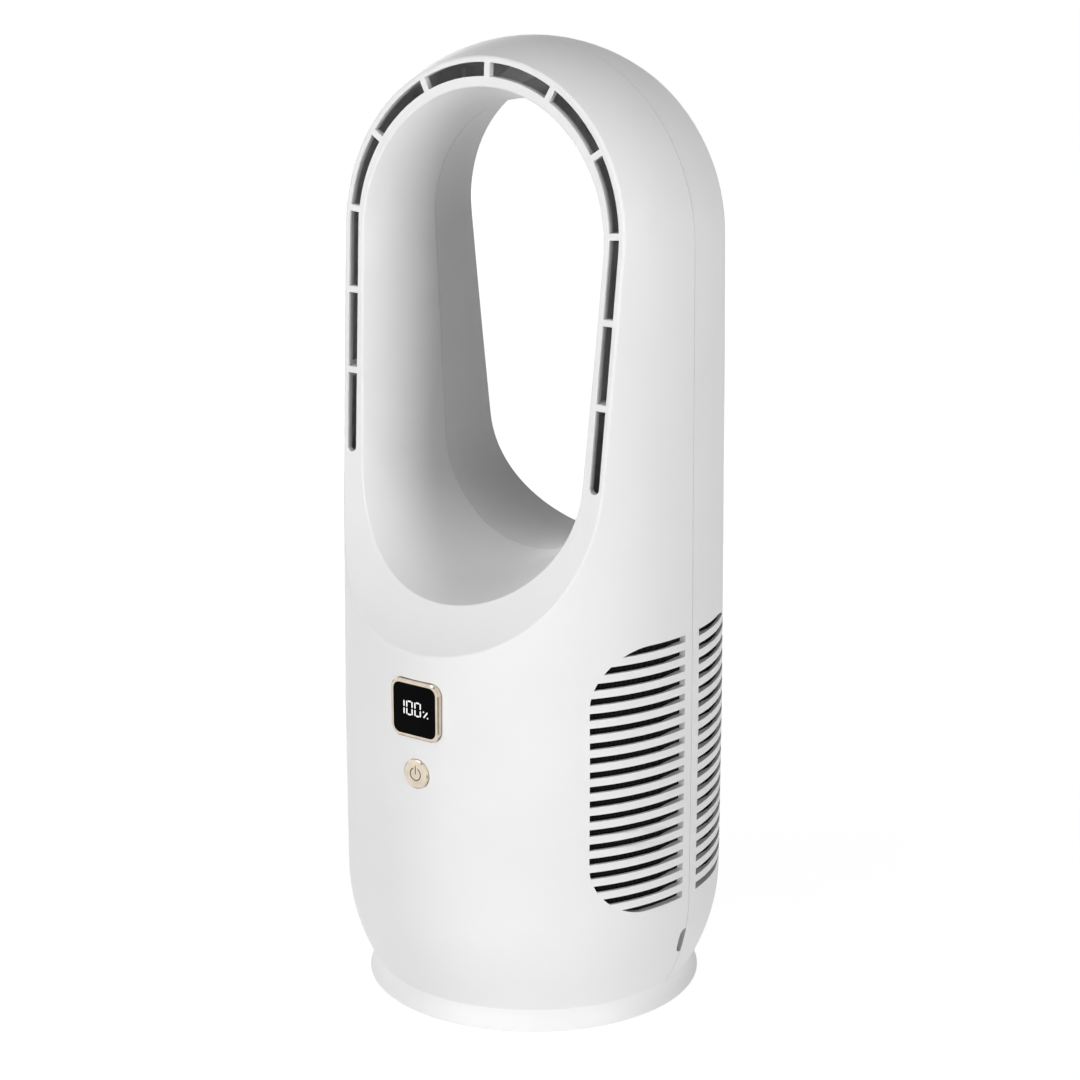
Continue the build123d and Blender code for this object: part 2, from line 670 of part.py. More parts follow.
def seam_steps():
    """Thin rings cut from the front housing's edge, outside and in the tunnel."""
    band = block(-OUTSIDE, OUTSIDE, -SEAM_STEP_WIDTH, OVERCUT, 0, TOP_Z)
    outer = (envelope_half() - envelope_half(SEAM_STEP_DEPTH)) & band
    inner = tunnel(SEAM_STEP_DEPTH) & band
    return [outer, inner]


def pry_notch():
    """Slot through the wall beside the seam, low on the right side."""
    z0 = PRY_NOTCH_Z - PRY_NOTCH_HEIGHT / 2
    z1 = PRY_NOTCH_Z + PRY_NOTCH_HEIGHT / 2
    slot = block(BODY_RADIUS / 2, OUTSIDE, -PRY_NOTCH_WIDTH, OVERCUT, z0, z1)
    corners = slot.edges().filter_by(Axis.X).group_by(Axis.Y)[0]
    return fillet(corners, PRY_NOTCH_CORNER)


def rear_housing(half):
    """Rear shell: a mirrored half with pegs, a charging opening and a bracket for its board."""
    shell = mirror(half, Plane.XZ)
    for x, z in peg_places():
        shell += rod_y(PEG_RADIUS, -PEG_LENGTH, PEG_LENGTH, x, z)
    width = CHARGE_BOARD_WIDTH / 2
    low = CHARGE_BOARD_Z - CHARGE_BRACKET_THICKNESS
    bracket = block(-width, width, CHARGE_BOARD_FRONT_Y, OUTSIDE, low, CHARGE_BOARD_Z)
    shell += bracket & mirror(envelope_half(WALL / 2), Plane.XZ)
    opening = facing_front(OUTSIDE, SOCKET_Z) * socket_outline(SLIDE_FIT)
    return shell - extrude(opening, OUTSIDE - CHARGE_BOARD_BACK_Y)


def dust_nets():
    """Curved sheets of net inside the wall, one behind each grille panel."""
    outer = WALL + RUNNING_FIT
    layer = envelope_half(outer) - envelope_half(outer + NET_THICKNESS)
    front = -GRILLE_REACH - NET_MARGIN
    back = -GRILLE_SEAM_GAP + NET_MARGIN
    low = GRILLE_LOW_Z - NET_MARGIN
    high = DECK_Z - DECK_LEDGE_THICKNESS - PART_GAP
    pair = both_sides(layer & block(BODY_RADIUS / 2, OUTSIDE, front, back, low, high))
    return Compound(pair + [mirror(net, Plane.XZ) for net in pair])


def socket_outline(grow):
    """Long round outline of the charging socket, grown all round."""
    height = SOCKET_HEIGHT + 2 * grow
    return SlotOverall(SOCKET_WIDTH + 2 * grow, height)


# Base

def base_foot():
    """Flared dish that closes the body below and stands on its pads."""
    rim = foot_arc_x(BODY_BOTTOM_Z, WALL) - PART_GAP
    top = BODY_BOTTOM_Z
    middle = ((FOOT_FLOOR_RADIUS + FOOT_NECK_RADIUS) / 2 - FOOT_FLANK_HOLLOW, (FOOT_RISE + top) / 2)
    plate = FOOT_PLATE_TOP_Z
    skirt = FOOT_RIM_WALL
    foot = revolved(
        line((0, FOOT_RISE), (FOOT_FLOOR_RADIUS, FOOT_RISE)),
        arc((FOOT_FLOOR_RADIUS, FOOT_RISE), middle, (FOOT_NECK_RADIUS, top)),
        line((FOOT_NECK_RADIUS, top), (rim, top)),
        line((rim, top), (rim, top + FOOT_RIM_HEIGHT)),
        line((rim, top + FOOT_RIM_HEIGHT), (rim - skirt, top + FOOT_RIM_HEIGHT)),
        line((rim - skirt, top + FOOT_RIM_HEIGHT), (rim - skirt, plate)),
        line((rim - skirt, plate), (0, plate)),
        line((0, plate), (0, FOOT_RISE)),
    )
    for x, y in base_screw_places():
        foot -= rod(BASE_BOSS_RADIUS + SLIDE_FIT, plate, top + FOOT_RIM_HEIGHT + OVERCUT, x, y)
    for x, y in pad_places():
        foot -= rod(PAD_RADIUS, 0, FOOT_RISE + PAD_RECESS, x, y)
    for x, y in tray_post_places():
        foot += rod(TRAY_POST_RADIUS, plate, TRAY_Z, x, y)
    for x, y in base_screw_places() + tray_post_places():
        foot -= rod(SCREW_RADIUS + SLIDE_FIT, 0, TRAY_Z + OVERCUT, x, y)
        foot -= rod(SCREW_HEAD_RADIUS + SLIDE_FIT, 0, FOOT_RISE + SCREW_HEAD_HEIGHT, x, y)
    return foot


def base_screw_places():
    """X and Y of the base screws."""
    return on_circle(BASE_SCREW_CIRCLE_RADIUS, FRONT_SCREW_ANGLES + REAR_SCREW_ANGLES)


def pad_places():
    """X and Y of the foot pads."""
    return on_circle(PAD_CIRCLE_RADIUS, (0, 90, 180, 270))


def foot_pads():
    """Soft discs that the fan stands on."""
    pads = [rod(PAD_RADIUS, 0, FOOT_RISE + PAD_RECESS, x, y) for x, y in pad_places()]
    return Compound(pads)


def base_screws():
    """Screws that hold both housings to the foot."""
    z = FOOT_RISE + SCREW_HEAD_HEIGHT
    length = FOOT_PLATE_TOP_Z - z + SCREW_BITE
    return Compound([screw(x, y, z, length) for x, y in base_screw_places()])


# Display and button

def display_bezel():
    """Frame round the display, held by a flange behind the wall."""
    reach = DISPLAY_SIZE / 2 + BEZEL_FLANGE
    narrowest = min(body_radius(DISPLAY_Z - reach), body_radius(DISPLAY_Z + reach))
    wall_back = sqrt((narrowest - WALL) ** 2 - reach ** 2)
    flange_front = -wall_back + SLIDE_FIT
    flange_back = flange_front + BEZEL_FLANGE_THICKNESS
    frame = plate_y(DISPLAY_SIZE, DISPLAY_CORNER, DISPLAY_FRONT_Y, flange_back, DISPLAY_Z)
    face = frame.faces().sort_by(Axis.Y)[0]
    frame = chamfer(face.edges(), BEZEL_WIDTH / 3)
    flange_size = DISPLAY_SIZE + 2 * BEZEL_FLANGE
    frame += plate_y(flange_size, DISPLAY_CORNER, flange_front, flange_back, DISPLAY_Z)
    inner = DISPLAY_CORNER - BEZEL_WIDTH
    return frame - plate_y(LENS_SIZE, inner, -OUTSIDE, 0, DISPLAY_Z)


def display_lens():
    """Dark window in the bezel."""
    corner = DISPLAY_CORNER - BEZEL_WIDTH
    return plate_y(LENS_SIZE, corner, LENS_FRONT_Y, LENS_FRONT_Y + LENS_THICKNESS, DISPLAY_Z)


def display_module():
    """Digit block between the lens and the board."""
    size = LENS_SIZE - 2 * PART_GAP
    corner = DISPLAY_CORNER - BEZEL_WIDTH
    return plate_y(size, corner, LENS_FRONT_Y + LENS_THICKNESS, DISPLAY_BOARD_Y, DISPLAY_Z)


def display_board():
    """Upright board behind the display and the button."""
    width = DISPLAY_BOARD_WIDTH / 2
    back = DISPLAY_BOARD_Y + BOARD_THICKNESS
    board = block(-width, width, DISPLAY_BOARD_Y, back, DISPLAY_BOARD_BOTTOM_Z, DISPLAY_BOARD_TOP_Z)
    for x, z in display_post_places():
        board -= rod_y(SMALL_SCREW_RADIUS + SLIDE_FIT, -BODY_RADIUS, 0, x, z)
    return board


def display_screws():
    """Screws that hold the display board to its posts."""
    back = DISPLAY_BOARD_Y + BOARD_THICKNESS
    screws = []
    for x, z in display_post_places():
        shank = rod_y(SMALL_SCREW_RADIUS, DISPLAY_BOARD_Y - SMALL_SCREW_BITE, back, x, z)
        screws.append(shank + rod_y(SMALL_SCREW_HEAD_RADIUS, back, back + SMALL_SCREW_HEAD_HEIGHT, x, z))
    return Compound(screws)


def button_flange_y():
    """Front of the flange that keeps the button in."""
    reach = BUTTON_DIAMETER / 2 + BUTTON_FLANGE
    return -sqrt(INNER_RADIUS ** 2 - reach ** 2) + SLIDE_FIT


def plunger_y():
    """Front of the switch plunger at rest, where the button's stem meets it."""
    return DISPLAY_BOARD_Y - SWITCH_DEPTH - PLUNGER_PROUD


def power_button():
    """Button cap with its retaining flange and stem."""
    radius = BUTTON_DIAMETER / 2
    flange = button_flange_y()
    cap = rod_y(radius, BUTTON_FRONT_Y, flange, 0, BUTTON_Z)
    face = cap.faces().sort_by(Axis.Y)[0]
    cap = chamfer(face.edges(), BUTTON_PROUD / 2)
    cap += rod_y(radius + BUTTON_FLANGE, flange, flange + BUTTON_FLANGE_THICKNESS, 0, BUTTON_Z)
    cap += rod_y(BUTTON_STEM_DIAMETER / 2, flange, plunger_y(), 0, BUTTON_Z)
    return cap - power_symbol()


def power_symbol():
    """Grooves of the stamped power symbol: an open ring and an upright bar."""
    front = BUTTON_FRONT_Y - OVERCUT
    back = BUTTON_FRONT_Y + SYMBOL_DEPTH
    half = SYMBOL_LINE / 2
    symbol = rod_y(SYMBOL_RADIUS + half, front, back, 0, BUTTON_Z)
    symbol -= rod_y(SYMBOL_RADIUS - half, front, back, 0, BUTTON_Z)
    gap = SYMBOL_GAP / 2
    symbol -= block(-gap, gap, front, back, BUTTON_Z, BUTTON_Z + BUTTON_DIAMETER)
    return symbol + block(-half, half, front, back, BUTTON_Z, BUTTON_Z + SYMBOL_BAR_TOP)


def tact_switch():
    """Switch body on the board, with a well for its plunger."""
    half = SWITCH_SIZE / 2
    front = DISPLAY_BOARD_Y - SWITCH_DEPTH
    body = block(-half, half, front, DISPLAY_BOARD_Y, BUTTON_Z - half, BUTTON_Z + half)
    well = PLUNGER_SEAT + BUTTON_TRAVEL + PART_GAP
    return body - rod_y(PLUNGER_DIAMETER / 2 + RUNNING_FIT, -BODY_RADIUS, front + well, 0, BUTTON_Z)


def switch_plunger():
    """Plunger of the switch, pushed in by the button."""
    front = plunger_y()
    return rod_y(PLUNGER_DIAMETER / 2, front, front + PLUNGER_PROUD + PLUNGER_SEAT, 0, BUTTON_Z)


# Deck and duct

def duct_screw_places():
    """X and Y of the screws through the duct's flange, with none at the front or the rear."""
    angles = [i * 360 / DUCT_SCREWS for i in range(DUCT_SCREWS)]
    return on_circle(DUCT_RADIUS + DUCT_FLANGE_WIDTH / 2, angles)


def duct_deck():
    """Bulkhead between the intake and the loop, with a hole over the duct."""
    disc = ring(body_radius(DECK_TOP_Z) - WALL - PART_GAP, DUCT_BORE_RADIUS, DECK_Z, DECK_TOP_Z)
    flat = -scoop_y(DECK_TOP_Z, WALL) - PART_GAP
    disc &= block(-OUTSIDE, OUTSIDE, -flat, flat, 0, TOP_Z)
    for x, y in duct_screw_places():
        disc -= rod(SCREW_RADIUS, 0, TOP_Z, x, y)
    return disc


def vane(inner, outer, z0, z1, twist, thickness):
    """Twisted blade between two radii: a ruled loft from a bottom to a turned top section."""
    length = outer - inner
    ends = []
    for z, turn in ((z0, 0.0), (z1, twist)):
        place = Plane(origin=(0, 0, z)).rotated((0, 0, turn)) * Pos((inner + outer) / 2, 0)
        ends.append((place * Rectangle(length, thickness)).wire())
    return Solid.make_loft(ends, ruled=True)


def vane_start():
    """Angle of the first vane's foot, so that the motor lead passes midway between two vanes."""
    climb = (motor_lead_z() - STATOR_VANE_BOTTOM_Z) / (STATOR_VANE_TOP_Z - STATOR_VANE_BOTTOM_Z)
    return 90 - 180 / STATOR_VANES - STATOR_VANE_TWIST * climb


def fan_duct():
    """Duct round the impeller, with fixed vanes that carry the motor cup."""
    flange_z = DECK_Z - DUCT_FLANGE_THICKNESS
    duct = ring(DUCT_RADIUS, DUCT_BORE_RADIUS, DUCT_BOTTOM_Z, DECK_Z)
    duct += ring(DUCT_RADIUS + DUCT_FLANGE_WIDTH, DUCT_BORE_RADIUS, flange_z, DECK_Z)
    cup = ring(MOTOR_CUP_RADIUS, MOTOR_CUP_RADIUS - MOTOR_CUP_WALL, MOTOR_CUP_BOTTOM_Z, MOTOR_CUP_TOP_Z)
    cup += ring(MOTOR_CUP_RADIUS, BEARING_TUBE_RADIUS, CUP_LID_Z, MOTOR_CUP_TOP_Z)
    reach = DUCT_BORE_RADIUS + DUCT_WALL / 2
    start = MOTOR_CUP_RADIUS - MOTOR_CUP_WALL / 2
    blade = vane(start, reach, STATOR_VANE_BOTTOM_Z, STATOR_VANE_TOP_Z, STATOR_VANE_TWIST, VANE_THICKNESS)
    duct += cup
    for i in range(STATOR_VANES):
        duct += Rot(0, 0, vane_start() + 360 / STATOR_VANES * i) * blade
    duct -= rod_y(LEAD_RADIUS + SLIDE_FIT, 0, OUTSIDE, 0, motor_lead_z())
    for x, y in duct_screw_places():
        duct -= rod(SCREW_RADIUS + SLIDE_FIT, 0, TOP_Z, x, y)
    return duct


def duct_screws():
    """Screws that hang the duct from the deck."""
    z = DECK_Z - DUCT_FLANGE_THICKNESS
    length = DUCT_FLANGE_THICKNESS + DECK_THICKNESS
    return Compound([screw(x, y, z, length) for x, y in duct_screw_places()])


def intake_bell():
    """Rounded inlet lip under the duct."""
    outer = DUCT_BORE_RADIUS + BELL_RADIUS
    low = DUCT_BOTTOM_Z - BELL_RADIUS
    inner = BELL_RADIUS - BELL_WALL
    diagonal = cos(radians(45))
    lip_middle = (outer - BELL_RADIUS * diagonal, DUCT_BOTTOM_Z - BELL_RADIUS * diagonal)
    inner_middle = (outer - inner * diagonal, DUCT_BOTTOM_Z - inner * diagonal)
    return revolved(
        arc((DUCT_BORE_RADIUS, DUCT_BOTTOM_Z), lip_middle, (outer, low)),
        line((outer, low), (outer, low + BELL_WALL)),
        arc((outer, low + BELL_WALL), inner_middle, (outer - inner, DUCT_BOTTOM_Z)),
        line((outer - inner, DUCT_BOTTOM_Z), (DUCT_BORE_RADIUS, DUCT_BOTTOM_Z)),
    )


# Motor

def bearing_tube():
    """Tube fixed in the motor cup that holds both bearings and the core."""
    return ring(BEARING_TUBE_RADIUS, BEARING_RADIUS, BEARING_TUBE_BOTTOM_Z, MOTOR_CUP_TOP_Z)


def bearing(z):
    """Ball bearing, drawn as one ring with a running fit on the shaft."""
    return ring(BEARING_RADIUS, SHAFT_RADIUS + RUNNING_FIT, z, z + BEARING_WIDTH)


def motor_bearings():
    """Lower and upper bearing."""
    return Compound([bearing(BEARING_TUBE_BOTTOM_Z), bearing(MOTOR_CUP_TOP_Z - BEARING_WIDTH)])


def core_tooth():
    """One tooth of the stator core, with its curved tip."""
    tip_inner = CORE_RADIUS - TOOTH_TIP
    top = CORE_BOTTOM_Z + CORE_HEIGHT
    half = TOOTH_WIDTH / 2
    stem = block(CORE_HUB_RADIUS - EMBED, tip_inner + TOOTH_TIP / 3, -half, half, CORE_BOTTOM_Z, top)
    tip = ring(CORE_RADIUS, tip_inner, CORE_BOTTOM_Z, top)
    wide = TOOTH_TIP_WIDTH / 2
    return stem + (tip & block(0, OUTSIDE, -wide, wide, CORE_BOTTOM_Z, top))


def stator_core():
    """Laminated core of the motor."""
    core = ring(CORE_HUB_RADIUS, BEARING_TUBE_RADIUS, CORE_BOTTOM_Z, CORE_BOTTOM_Z + CORE_HEIGHT)
    for i in range(CORE_TEETH):
        core += Rot(0, 0, 360 / CORE_TEETH * i) * core_tooth()
    return core


def motor_windings():
    """Copper coils on the teeth of the core."""
    half = TOOTH_WIDTH / 2
    x0 = CORE_HUB_RADIUS + COIL_GAP
    x1 = CORE_RADIUS - TOOTH_TIP - COIL_GAP
    z0 = CORE_BOTTOM_Z
    z1 = CORE_BOTTOM_Z + CORE_HEIGHT
    wide = half + COIL_THICKNESS
    coil = block(x0, x1, -wide, wide, z0 - COIL_THICKNESS, z1 + COIL_THICKNESS)
    coil -= block(0, OUTSIDE, -half, half, z0, z1)
    return Compound([Rot(0, 0, 360 / CORE_TEETH * i) * coil for i in range(CORE_TEETH)])


def rotor_can():
    """Steel can of the rotor, with the hub that grips the shaft."""
    can = ring(CAN_RADIUS, MAGNET_RADIUS, CAN_BOTTOM_Z, CAN_RIM_Z)
    can += rod(CAN_RADIUS, CAN_BOTTOM_Z, CAN_BOTTOM_Z + CAN_WALL)
    can += rod(CAN_HUB_RADIUS, CAN_BOTTOM_Z - CAN_HUB_LENGTH, CAN_BOTTOM_Z + CAN_WALL)
    return can - rod(SHAFT_RADIUS, 0, TOP_Z)


def rotor_magnet():
    """Magnet ring inside the can."""
    low = CORE_BOTTOM_Z - MAGNET_OVERHANG
    high = CORE_BOTTOM_Z + CORE_HEIGHT + MAGNET_OVERHANG
    return ring(MAGNET_RADIUS, CORE_RADIUS + AIR_GAP, low, high)


def motor_shaft():
    """Shaft that carries the can and the impeller."""
    return rod(SHAFT_RADIUS, SHAFT_BOTTOM_Z, MOTOR_CUP_TOP_Z - SHAFT_END_GAP)


def motor_board():
    """Ring board over the windings that drives the motor."""
    z = CUP_LID_Z - BOARD_THICKNESS
    return ring(MOTOR_BOARD_RADIUS, BEARING_TUBE_RADIUS + SLIDE_FIT, z, CUP_LID_Z)


def impeller():
    """Mixed-flow impeller: a hollow cone, a sleeve on the shaft and twisted blades."""
    nose = IMPELLER_NOSE_RADIUS
    rim = MOTOR_CUP_RADIUS
    low = IMPELLER_BOTTOM_Z
    high = IMPELLER_TOP_Z
    wall = IMPELLER_WALL
    hub = revolved(
        line((SHAFT_RADIUS, low), (nose, low)),
        line((nose, low), (rim, high)),
        line((rim, high), (rim - wall, high)),
        line((rim - wall, high), (nose - wall, low + wall)),
        line((nose - wall, low + wall), (IMPELLER_SLEEVE_RADIUS, low + wall)),
        line((IMPELLER_SLEEVE_RADIUS, low + wall), (IMPELLER_SLEEVE_RADIUS, high)),
        line((IMPELLER_SLEEVE_RADIUS, high), (SHAFT_RADIUS, high)),
        line((SHAFT_RADIUS, high), (SHAFT_RADIUS, low)),
    )
    tip = DUCT_BORE_RADIUS - IMPELLER_TIP_GAP
    blade = vane(nose - wall / 2, tip, low + wall, high, -IMPELLER_TWIST, VANE_THICKNESS)
    inside = revolved(
        line((0, low + wall), (nose - wall, low + wall)),
        line((nose - wall, low + wall), (rim - wall, high)),
        line((rim - wall, high), (rim - wall, high + OVERCUT)),
        line((rim - wall, high + OVERCUT), (0, high + OVERCUT)),
        line((0, high + OVERCUT), (0, low + wall)),
    )
    for i in range(IMPELLER_BLADES):
        hub += (Rot(0, 0, 360 / IMPELLER_BLADES * i) * blade) - inside
    return hub


def impeller_nut():
    """Nut that clamps the impeller to the shaft."""
    low = IMPELLER_BOTTOM_Z - NUT_HEIGHT
    nut = extrude(Plane(origin=(0, 0, low)) * RegularPolygon(NUT_RADIUS, 6), NUT_HEIGHT)
    return nut - rod(SHAFT_RADIUS, 0, TOP_Z)


# Battery and boards

def tray_post_places():
    """X and Y of the posts that carry the tray and the main board."""
    return [(x, y) for x in (-TRAY_POST_X, TRAY_POST_X) for y in (-TRAY_POST_Y, TRAY_POST_Y)]


def cell_ys():
    """Y of each battery cell."""
    return (-CELL_SPACING / 2, CELL_SPACING / 2)


def rod_x(radius, length, y):
    """Cylinder along X, centred on the middle of a battery cell."""
    return Pos(0, y, CELL_Z) * Rot(0, 90, 0) * Cylinder(radius, length)


def battery_cells():
    """Two round lithium cells that lie side by side."""
    return Compound([rod_x(CELL_RADIUS, CELL_LENGTH, y) for y in cell_ys()])


def battery_tray():
    """Tray for the cells, with posts that lift the main board."""
    long = TRAY_LENGTH / 2
    wide = TRAY_WIDTH / 2
    x = TRAY_INNER_X + TRAY_WALL
    y = TRAY_INNER_Y + TRAY_WALL
    tray = block(-long, long, -wide, wide, TRAY_Z, CELL_BOTTOM_Z)
    tray += block(-x, x, -y, y, TRAY_Z, TRAY_WALL_TOP_Z)
    for x, y in tray_post_places():
        tray += rod(TRAY_POST_RADIUS, TRAY_Z, MAIN_BOARD_Z, x, y)
    tray -= block(-TRAY_INNER_X, TRAY_INNER_X, -TRAY_INNER_Y, TRAY_INNER_Y, CELL_BOTTOM_Z, TOP_Z)
    for x, y in tray_post_places():
        tray -= rod(SCREW_RADIUS, 0, TOP_Z, x, y)
    return tray


def cell_tabs():
    """Welded strips that join the cells at each end."""
    x = CELL_LENGTH / 2
    reach = CELL_SPACING / 2 + TAB_WIDTH / 2
    half = TAB_WIDTH / 2
    strip = block(x, x + TAB_THICKNESS, -reach, reach, CELL_Z - half, CELL_Z + half)
    return Compound(both_sides(strip))


def battery_clamps():
    """Two bridges over the cells that keep them in the tray."""
    reach = TRAY_INNER_Y + TRAY_WALL
    x0 = CLAMP_OFFSET - CLAMP_WIDTH / 2
    x1 = CLAMP_OFFSET + CLAMP_WIDTH / 2
    bridge = block(x0, x1, -reach, reach, TRAY_WALL_TOP_Z, CELL_TOP_Z + CLAMP_THICKNESS)
    for y in cell_ys():
        bridge -= rod_x(CELL_RADIUS + SLIDE_FIT, OUTSIDE, y)
    bridge -= block(-OUTSIDE, OUTSIDE, -CELL_SPACING / 2, CELL_SPACING / 2, 0, CELL_TOP_Z)
    return Compound(both_sides(bridge))


def main_board():
    """Control and charging board over the battery."""
    long = TRAY_LENGTH / 2
    wide = TRAY_WIDTH / 2
    board = block(-long, long, -wide, wide, MAIN_BOARD_Z, MAIN_BOARD_Z + BOARD_THICKNESS)
    for x, y in tray_post_places():
        board -= rod(SCREW_RADIUS + SLIDE_FIT, 0, TOP_Z, x, y)
    return board


def board_screws():
    """Screws that hold the main board on its posts."""
    top = MAIN_BOARD_Z + BOARD_THICKNESS
    screws = []
    for x, y in tray_post_places():
        shank = rod(SCREW_RADIUS, top - SCREW_BITE, top, x, y)
        screws.append(shank + rod(SCREW_HEAD_RADIUS, top, top + SCREW_HEAD_HEIGHT, x, y))
    return Compound(screws)


def tray_screws():
    """Screws from below that hold the tray on the foot."""
    z = FOOT_RISE + SCREW_HEAD_HEIGHT
    return Compound([screw(x, y, z, TRAY_Z + SCREW_BITE - z) for x, y in tray_post_places()])


def connector_places():
    """X and Y of the connectors: two battery poles, display, motor and charging."""
    y = TRAY_WIDTH / 2 - CONNECTOR_INSET
    x = BATTERY_CONNECTOR_X
    return [(-x, 0), (x, 0), (0, -y), (0, y), (CHARGE_CONNECTOR_X, y)]


def board_connectors():
    """Lead sockets on the main board."""
    low = MAIN_BOARD_Z + BOARD_THICKNESS
    long = CONNECTOR_LENGTH / 2
    wide = CONNECTOR_WIDTH / 2
    box = block(-long, long, -wide, wide, low, low + CONNECTOR_HEIGHT)
    return Compound([Pos(x, y, 0) * box for x, y in connector_places()])


def charge_board():
    """Small board that carries the charging socket."""
    width = CHARGE_BOARD_WIDTH / 2
    top = CHARGE_BOARD_Z + BOARD_THICKNESS
    return block(-width, width, CHARGE_BOARD_FRONT_Y, CHARGE_BOARD_BACK_Y, CHARGE_BOARD_Z, top)


def charge_socket():
    """Rounded metal shell of the charging socket, with its contact tongue."""
    mouth = facing_front(SOCKET_FRONT_Y, SOCKET_Z)
    shell = extrude(mouth * socket_outline(0), SOCKET_LENGTH)
    shell -= extrude(mouth * socket_outline(-SOCKET_WALL), SOCKET_LENGTH - SOCKET_FLOOR)
    wide = SOCKET_WIDTH / 3
    back = SOCKET_FRONT_Y - SOCKET_LENGTH
    front = SOCKET_FRONT_Y - SOCKET_FLOOR
    return shell + block(-wide, wide, back, front, SOCKET_Z - SOCKET_WALL, SOCKET_Z + SOCKET_WALL)


# Leads

def lead(points, radii):
    """Round lead along straight runs joined by arcs."""
    path = FilletPolyline(*points, radius=radii)
    start = Plane(origin=path @ 0, z_dir=path % 0)
    return sweep(start * Circle(LEAD_RADIUS), path=path)


def lead_z():
    """Height at which the leads enter the connectors of the main board."""
    return MAIN_BOARD_Z + BOARD_THICKNESS + CONNECTOR_HEIGHT / 2


def battery_leads():
    """Leads from the cell tabs round the board's ends to the battery poles."""
    z = CELL_Z + TAB_WIDTH / 2 - LEAD_RADIUS
    tab = CELL_LENGTH / 2 + TAB_THICKNESS
    end = BATTERY_CONNECTOR_X + CONNECTOR_LENGTH / 2
    x = TRAY_LENGTH / 2 + BATTERY_LEAD_CLEARANCE
    points = [(tab, 0, z), (x, 0, z), (x, 0, lead_z()), (end, 0, lead_z())]
    return Compound(both_sides(lead(points, [LEAD_TIGHT_BEND, LEAD_TIGHT_BEND])))


def board_edge():
    """Distance from the middle to where the front and rear connectors end."""
    return TRAY_WIDTH / 2 - CONNECTOR_INSET + CONNECTOR_WIDTH / 2


def motor_lead_z():
    """Height at which the motor lead leaves the motor board."""
    return CUP_LID_Z - BOARD_THICKNESS / 2


def motor_lead():
    """Lead from the motor board through the cup and the duct, then down to the main board."""
    high = motor_lead_z()
    low = lead_z()
    y = DUCT_BORE_RADIUS + BELL_RADIUS + MOTOR_LEAD_CLEARANCE
    points = [(0, MOTOR_BOARD_RADIUS, high), (0, y, high), (0, y, low), (0, board_edge(), low)]
    return lead(points, [LEAD_DUCT_BEND, LEAD_BEND])


def display_lead():
    """Lead from the display board down to the main board."""
    y = DISPLAY_BOARD_Y + BOARD_THICKNESS / 2
    points = [(0, y, DISPLAY_BOARD_BOTTOM_Z), (0, y, lead_z()), (0, -board_edge(), lead_z())]
    return lead(points, [LEAD_BEND])


def charge_lead():
    """Lead from the charge board up to the main board."""
    x = CHARGE_CONNECTOR_X
    z = CHARGE_BOARD_Z + BOARD_THICKNESS / 2
    front = CHARGE_BOARD_FRONT_Y
    y = front - CHARGE_LEAD_RUN
    points = [(x, front, z), (x, y, z), (x, y, lead_z()), (x, board_edge(), lead_z())]
    return lead(points, [LEAD_TIGHT_BEND, LEAD_TIGHT_BEND])


PARTS = {}


def add(name, shape):
    """Keep a piece under its node name."""
    shape.label = name
    PARTS[name] = shape


def build():
    """Make every piece and write each to its own file."""
    half = housing_half()
    add("front_housing", front_housing(half))
    add("rear_housing", rear_housing(half))
    for piece in (
        dust_nets, base_foot, foot_pads, base_screws,
        display_bezel, display_lens, display_module, display_board, display_screws,
        power_button, tact_switch, switch_plunger,
        duct_deck, fan_duct, duct_screws, intake_bell,
        bearing_tube, motor_bearings, stator_core, motor_windings, rotor_can, rotor_magnet,
        motor_shaft, motor_board, impeller, impeller_nut,
        battery_cells, battery_tray, cell_tabs, battery_clamps, tray_screws,
        main_board, board_screws, board_connectors, charge_board, charge_socket,
        battery_leads, motor_lead, display_lead, charge_lead,
    ):
        add(piece.__name__, piece())
    os.makedirs("parts", exist_ok=True)
    for name, shape in PARTS.items():
        export_step(shape, f"parts/{name}.step")
        print(name, len(shape.solids()), round(shape.volume, 1))


build()
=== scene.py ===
from math import radians

import bmesh
import bpy
from mathutils import Euler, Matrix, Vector


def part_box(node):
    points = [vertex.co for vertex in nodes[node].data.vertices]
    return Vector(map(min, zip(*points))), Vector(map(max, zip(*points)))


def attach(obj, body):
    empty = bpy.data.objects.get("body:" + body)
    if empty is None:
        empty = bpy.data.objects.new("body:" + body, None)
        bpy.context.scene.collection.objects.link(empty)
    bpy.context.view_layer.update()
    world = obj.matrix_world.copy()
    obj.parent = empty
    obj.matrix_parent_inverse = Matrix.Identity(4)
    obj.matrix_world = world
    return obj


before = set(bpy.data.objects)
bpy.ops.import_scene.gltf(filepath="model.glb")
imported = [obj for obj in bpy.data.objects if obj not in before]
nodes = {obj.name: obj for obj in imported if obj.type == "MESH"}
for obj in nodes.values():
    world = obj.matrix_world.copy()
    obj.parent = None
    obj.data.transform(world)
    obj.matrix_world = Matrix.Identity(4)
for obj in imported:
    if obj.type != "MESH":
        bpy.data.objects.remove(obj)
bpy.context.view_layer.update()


# Camera: stands about 0.9 m off, to the front right of the fan, and looks a little down on it
# through a long lens.

CAMERA_PLACE = (0.50539, -0.69120, 0.39492)
CAMERA_LENS = 87.03
CAMERA_SENSOR = 36
CAMERA_TILT = 15.601
CAMERA_TURN = 36.031

bpy.ops.object.select_all(action="DESELECT")
bpy.ops.object.camera_add(location=CAMERA_PLACE)
camera = bpy.context.object
camera.rotation_euler = (radians(90 - CAMERA_TILT), 0, radians(CAMERA_TURN))
camera.data.lens = CAMERA_LENS
camera.data.sensor_width = CAMERA_SENSOR
bpy.context.scene.camera = camera
bpy.context.scene.view_settings.view_transform = "Standard"


# Housings: two mirrored half shells, injection moulded in glossy white plastic and pegged
# together at an upright seam. The mould leaves a fine even grain and a slight satin.

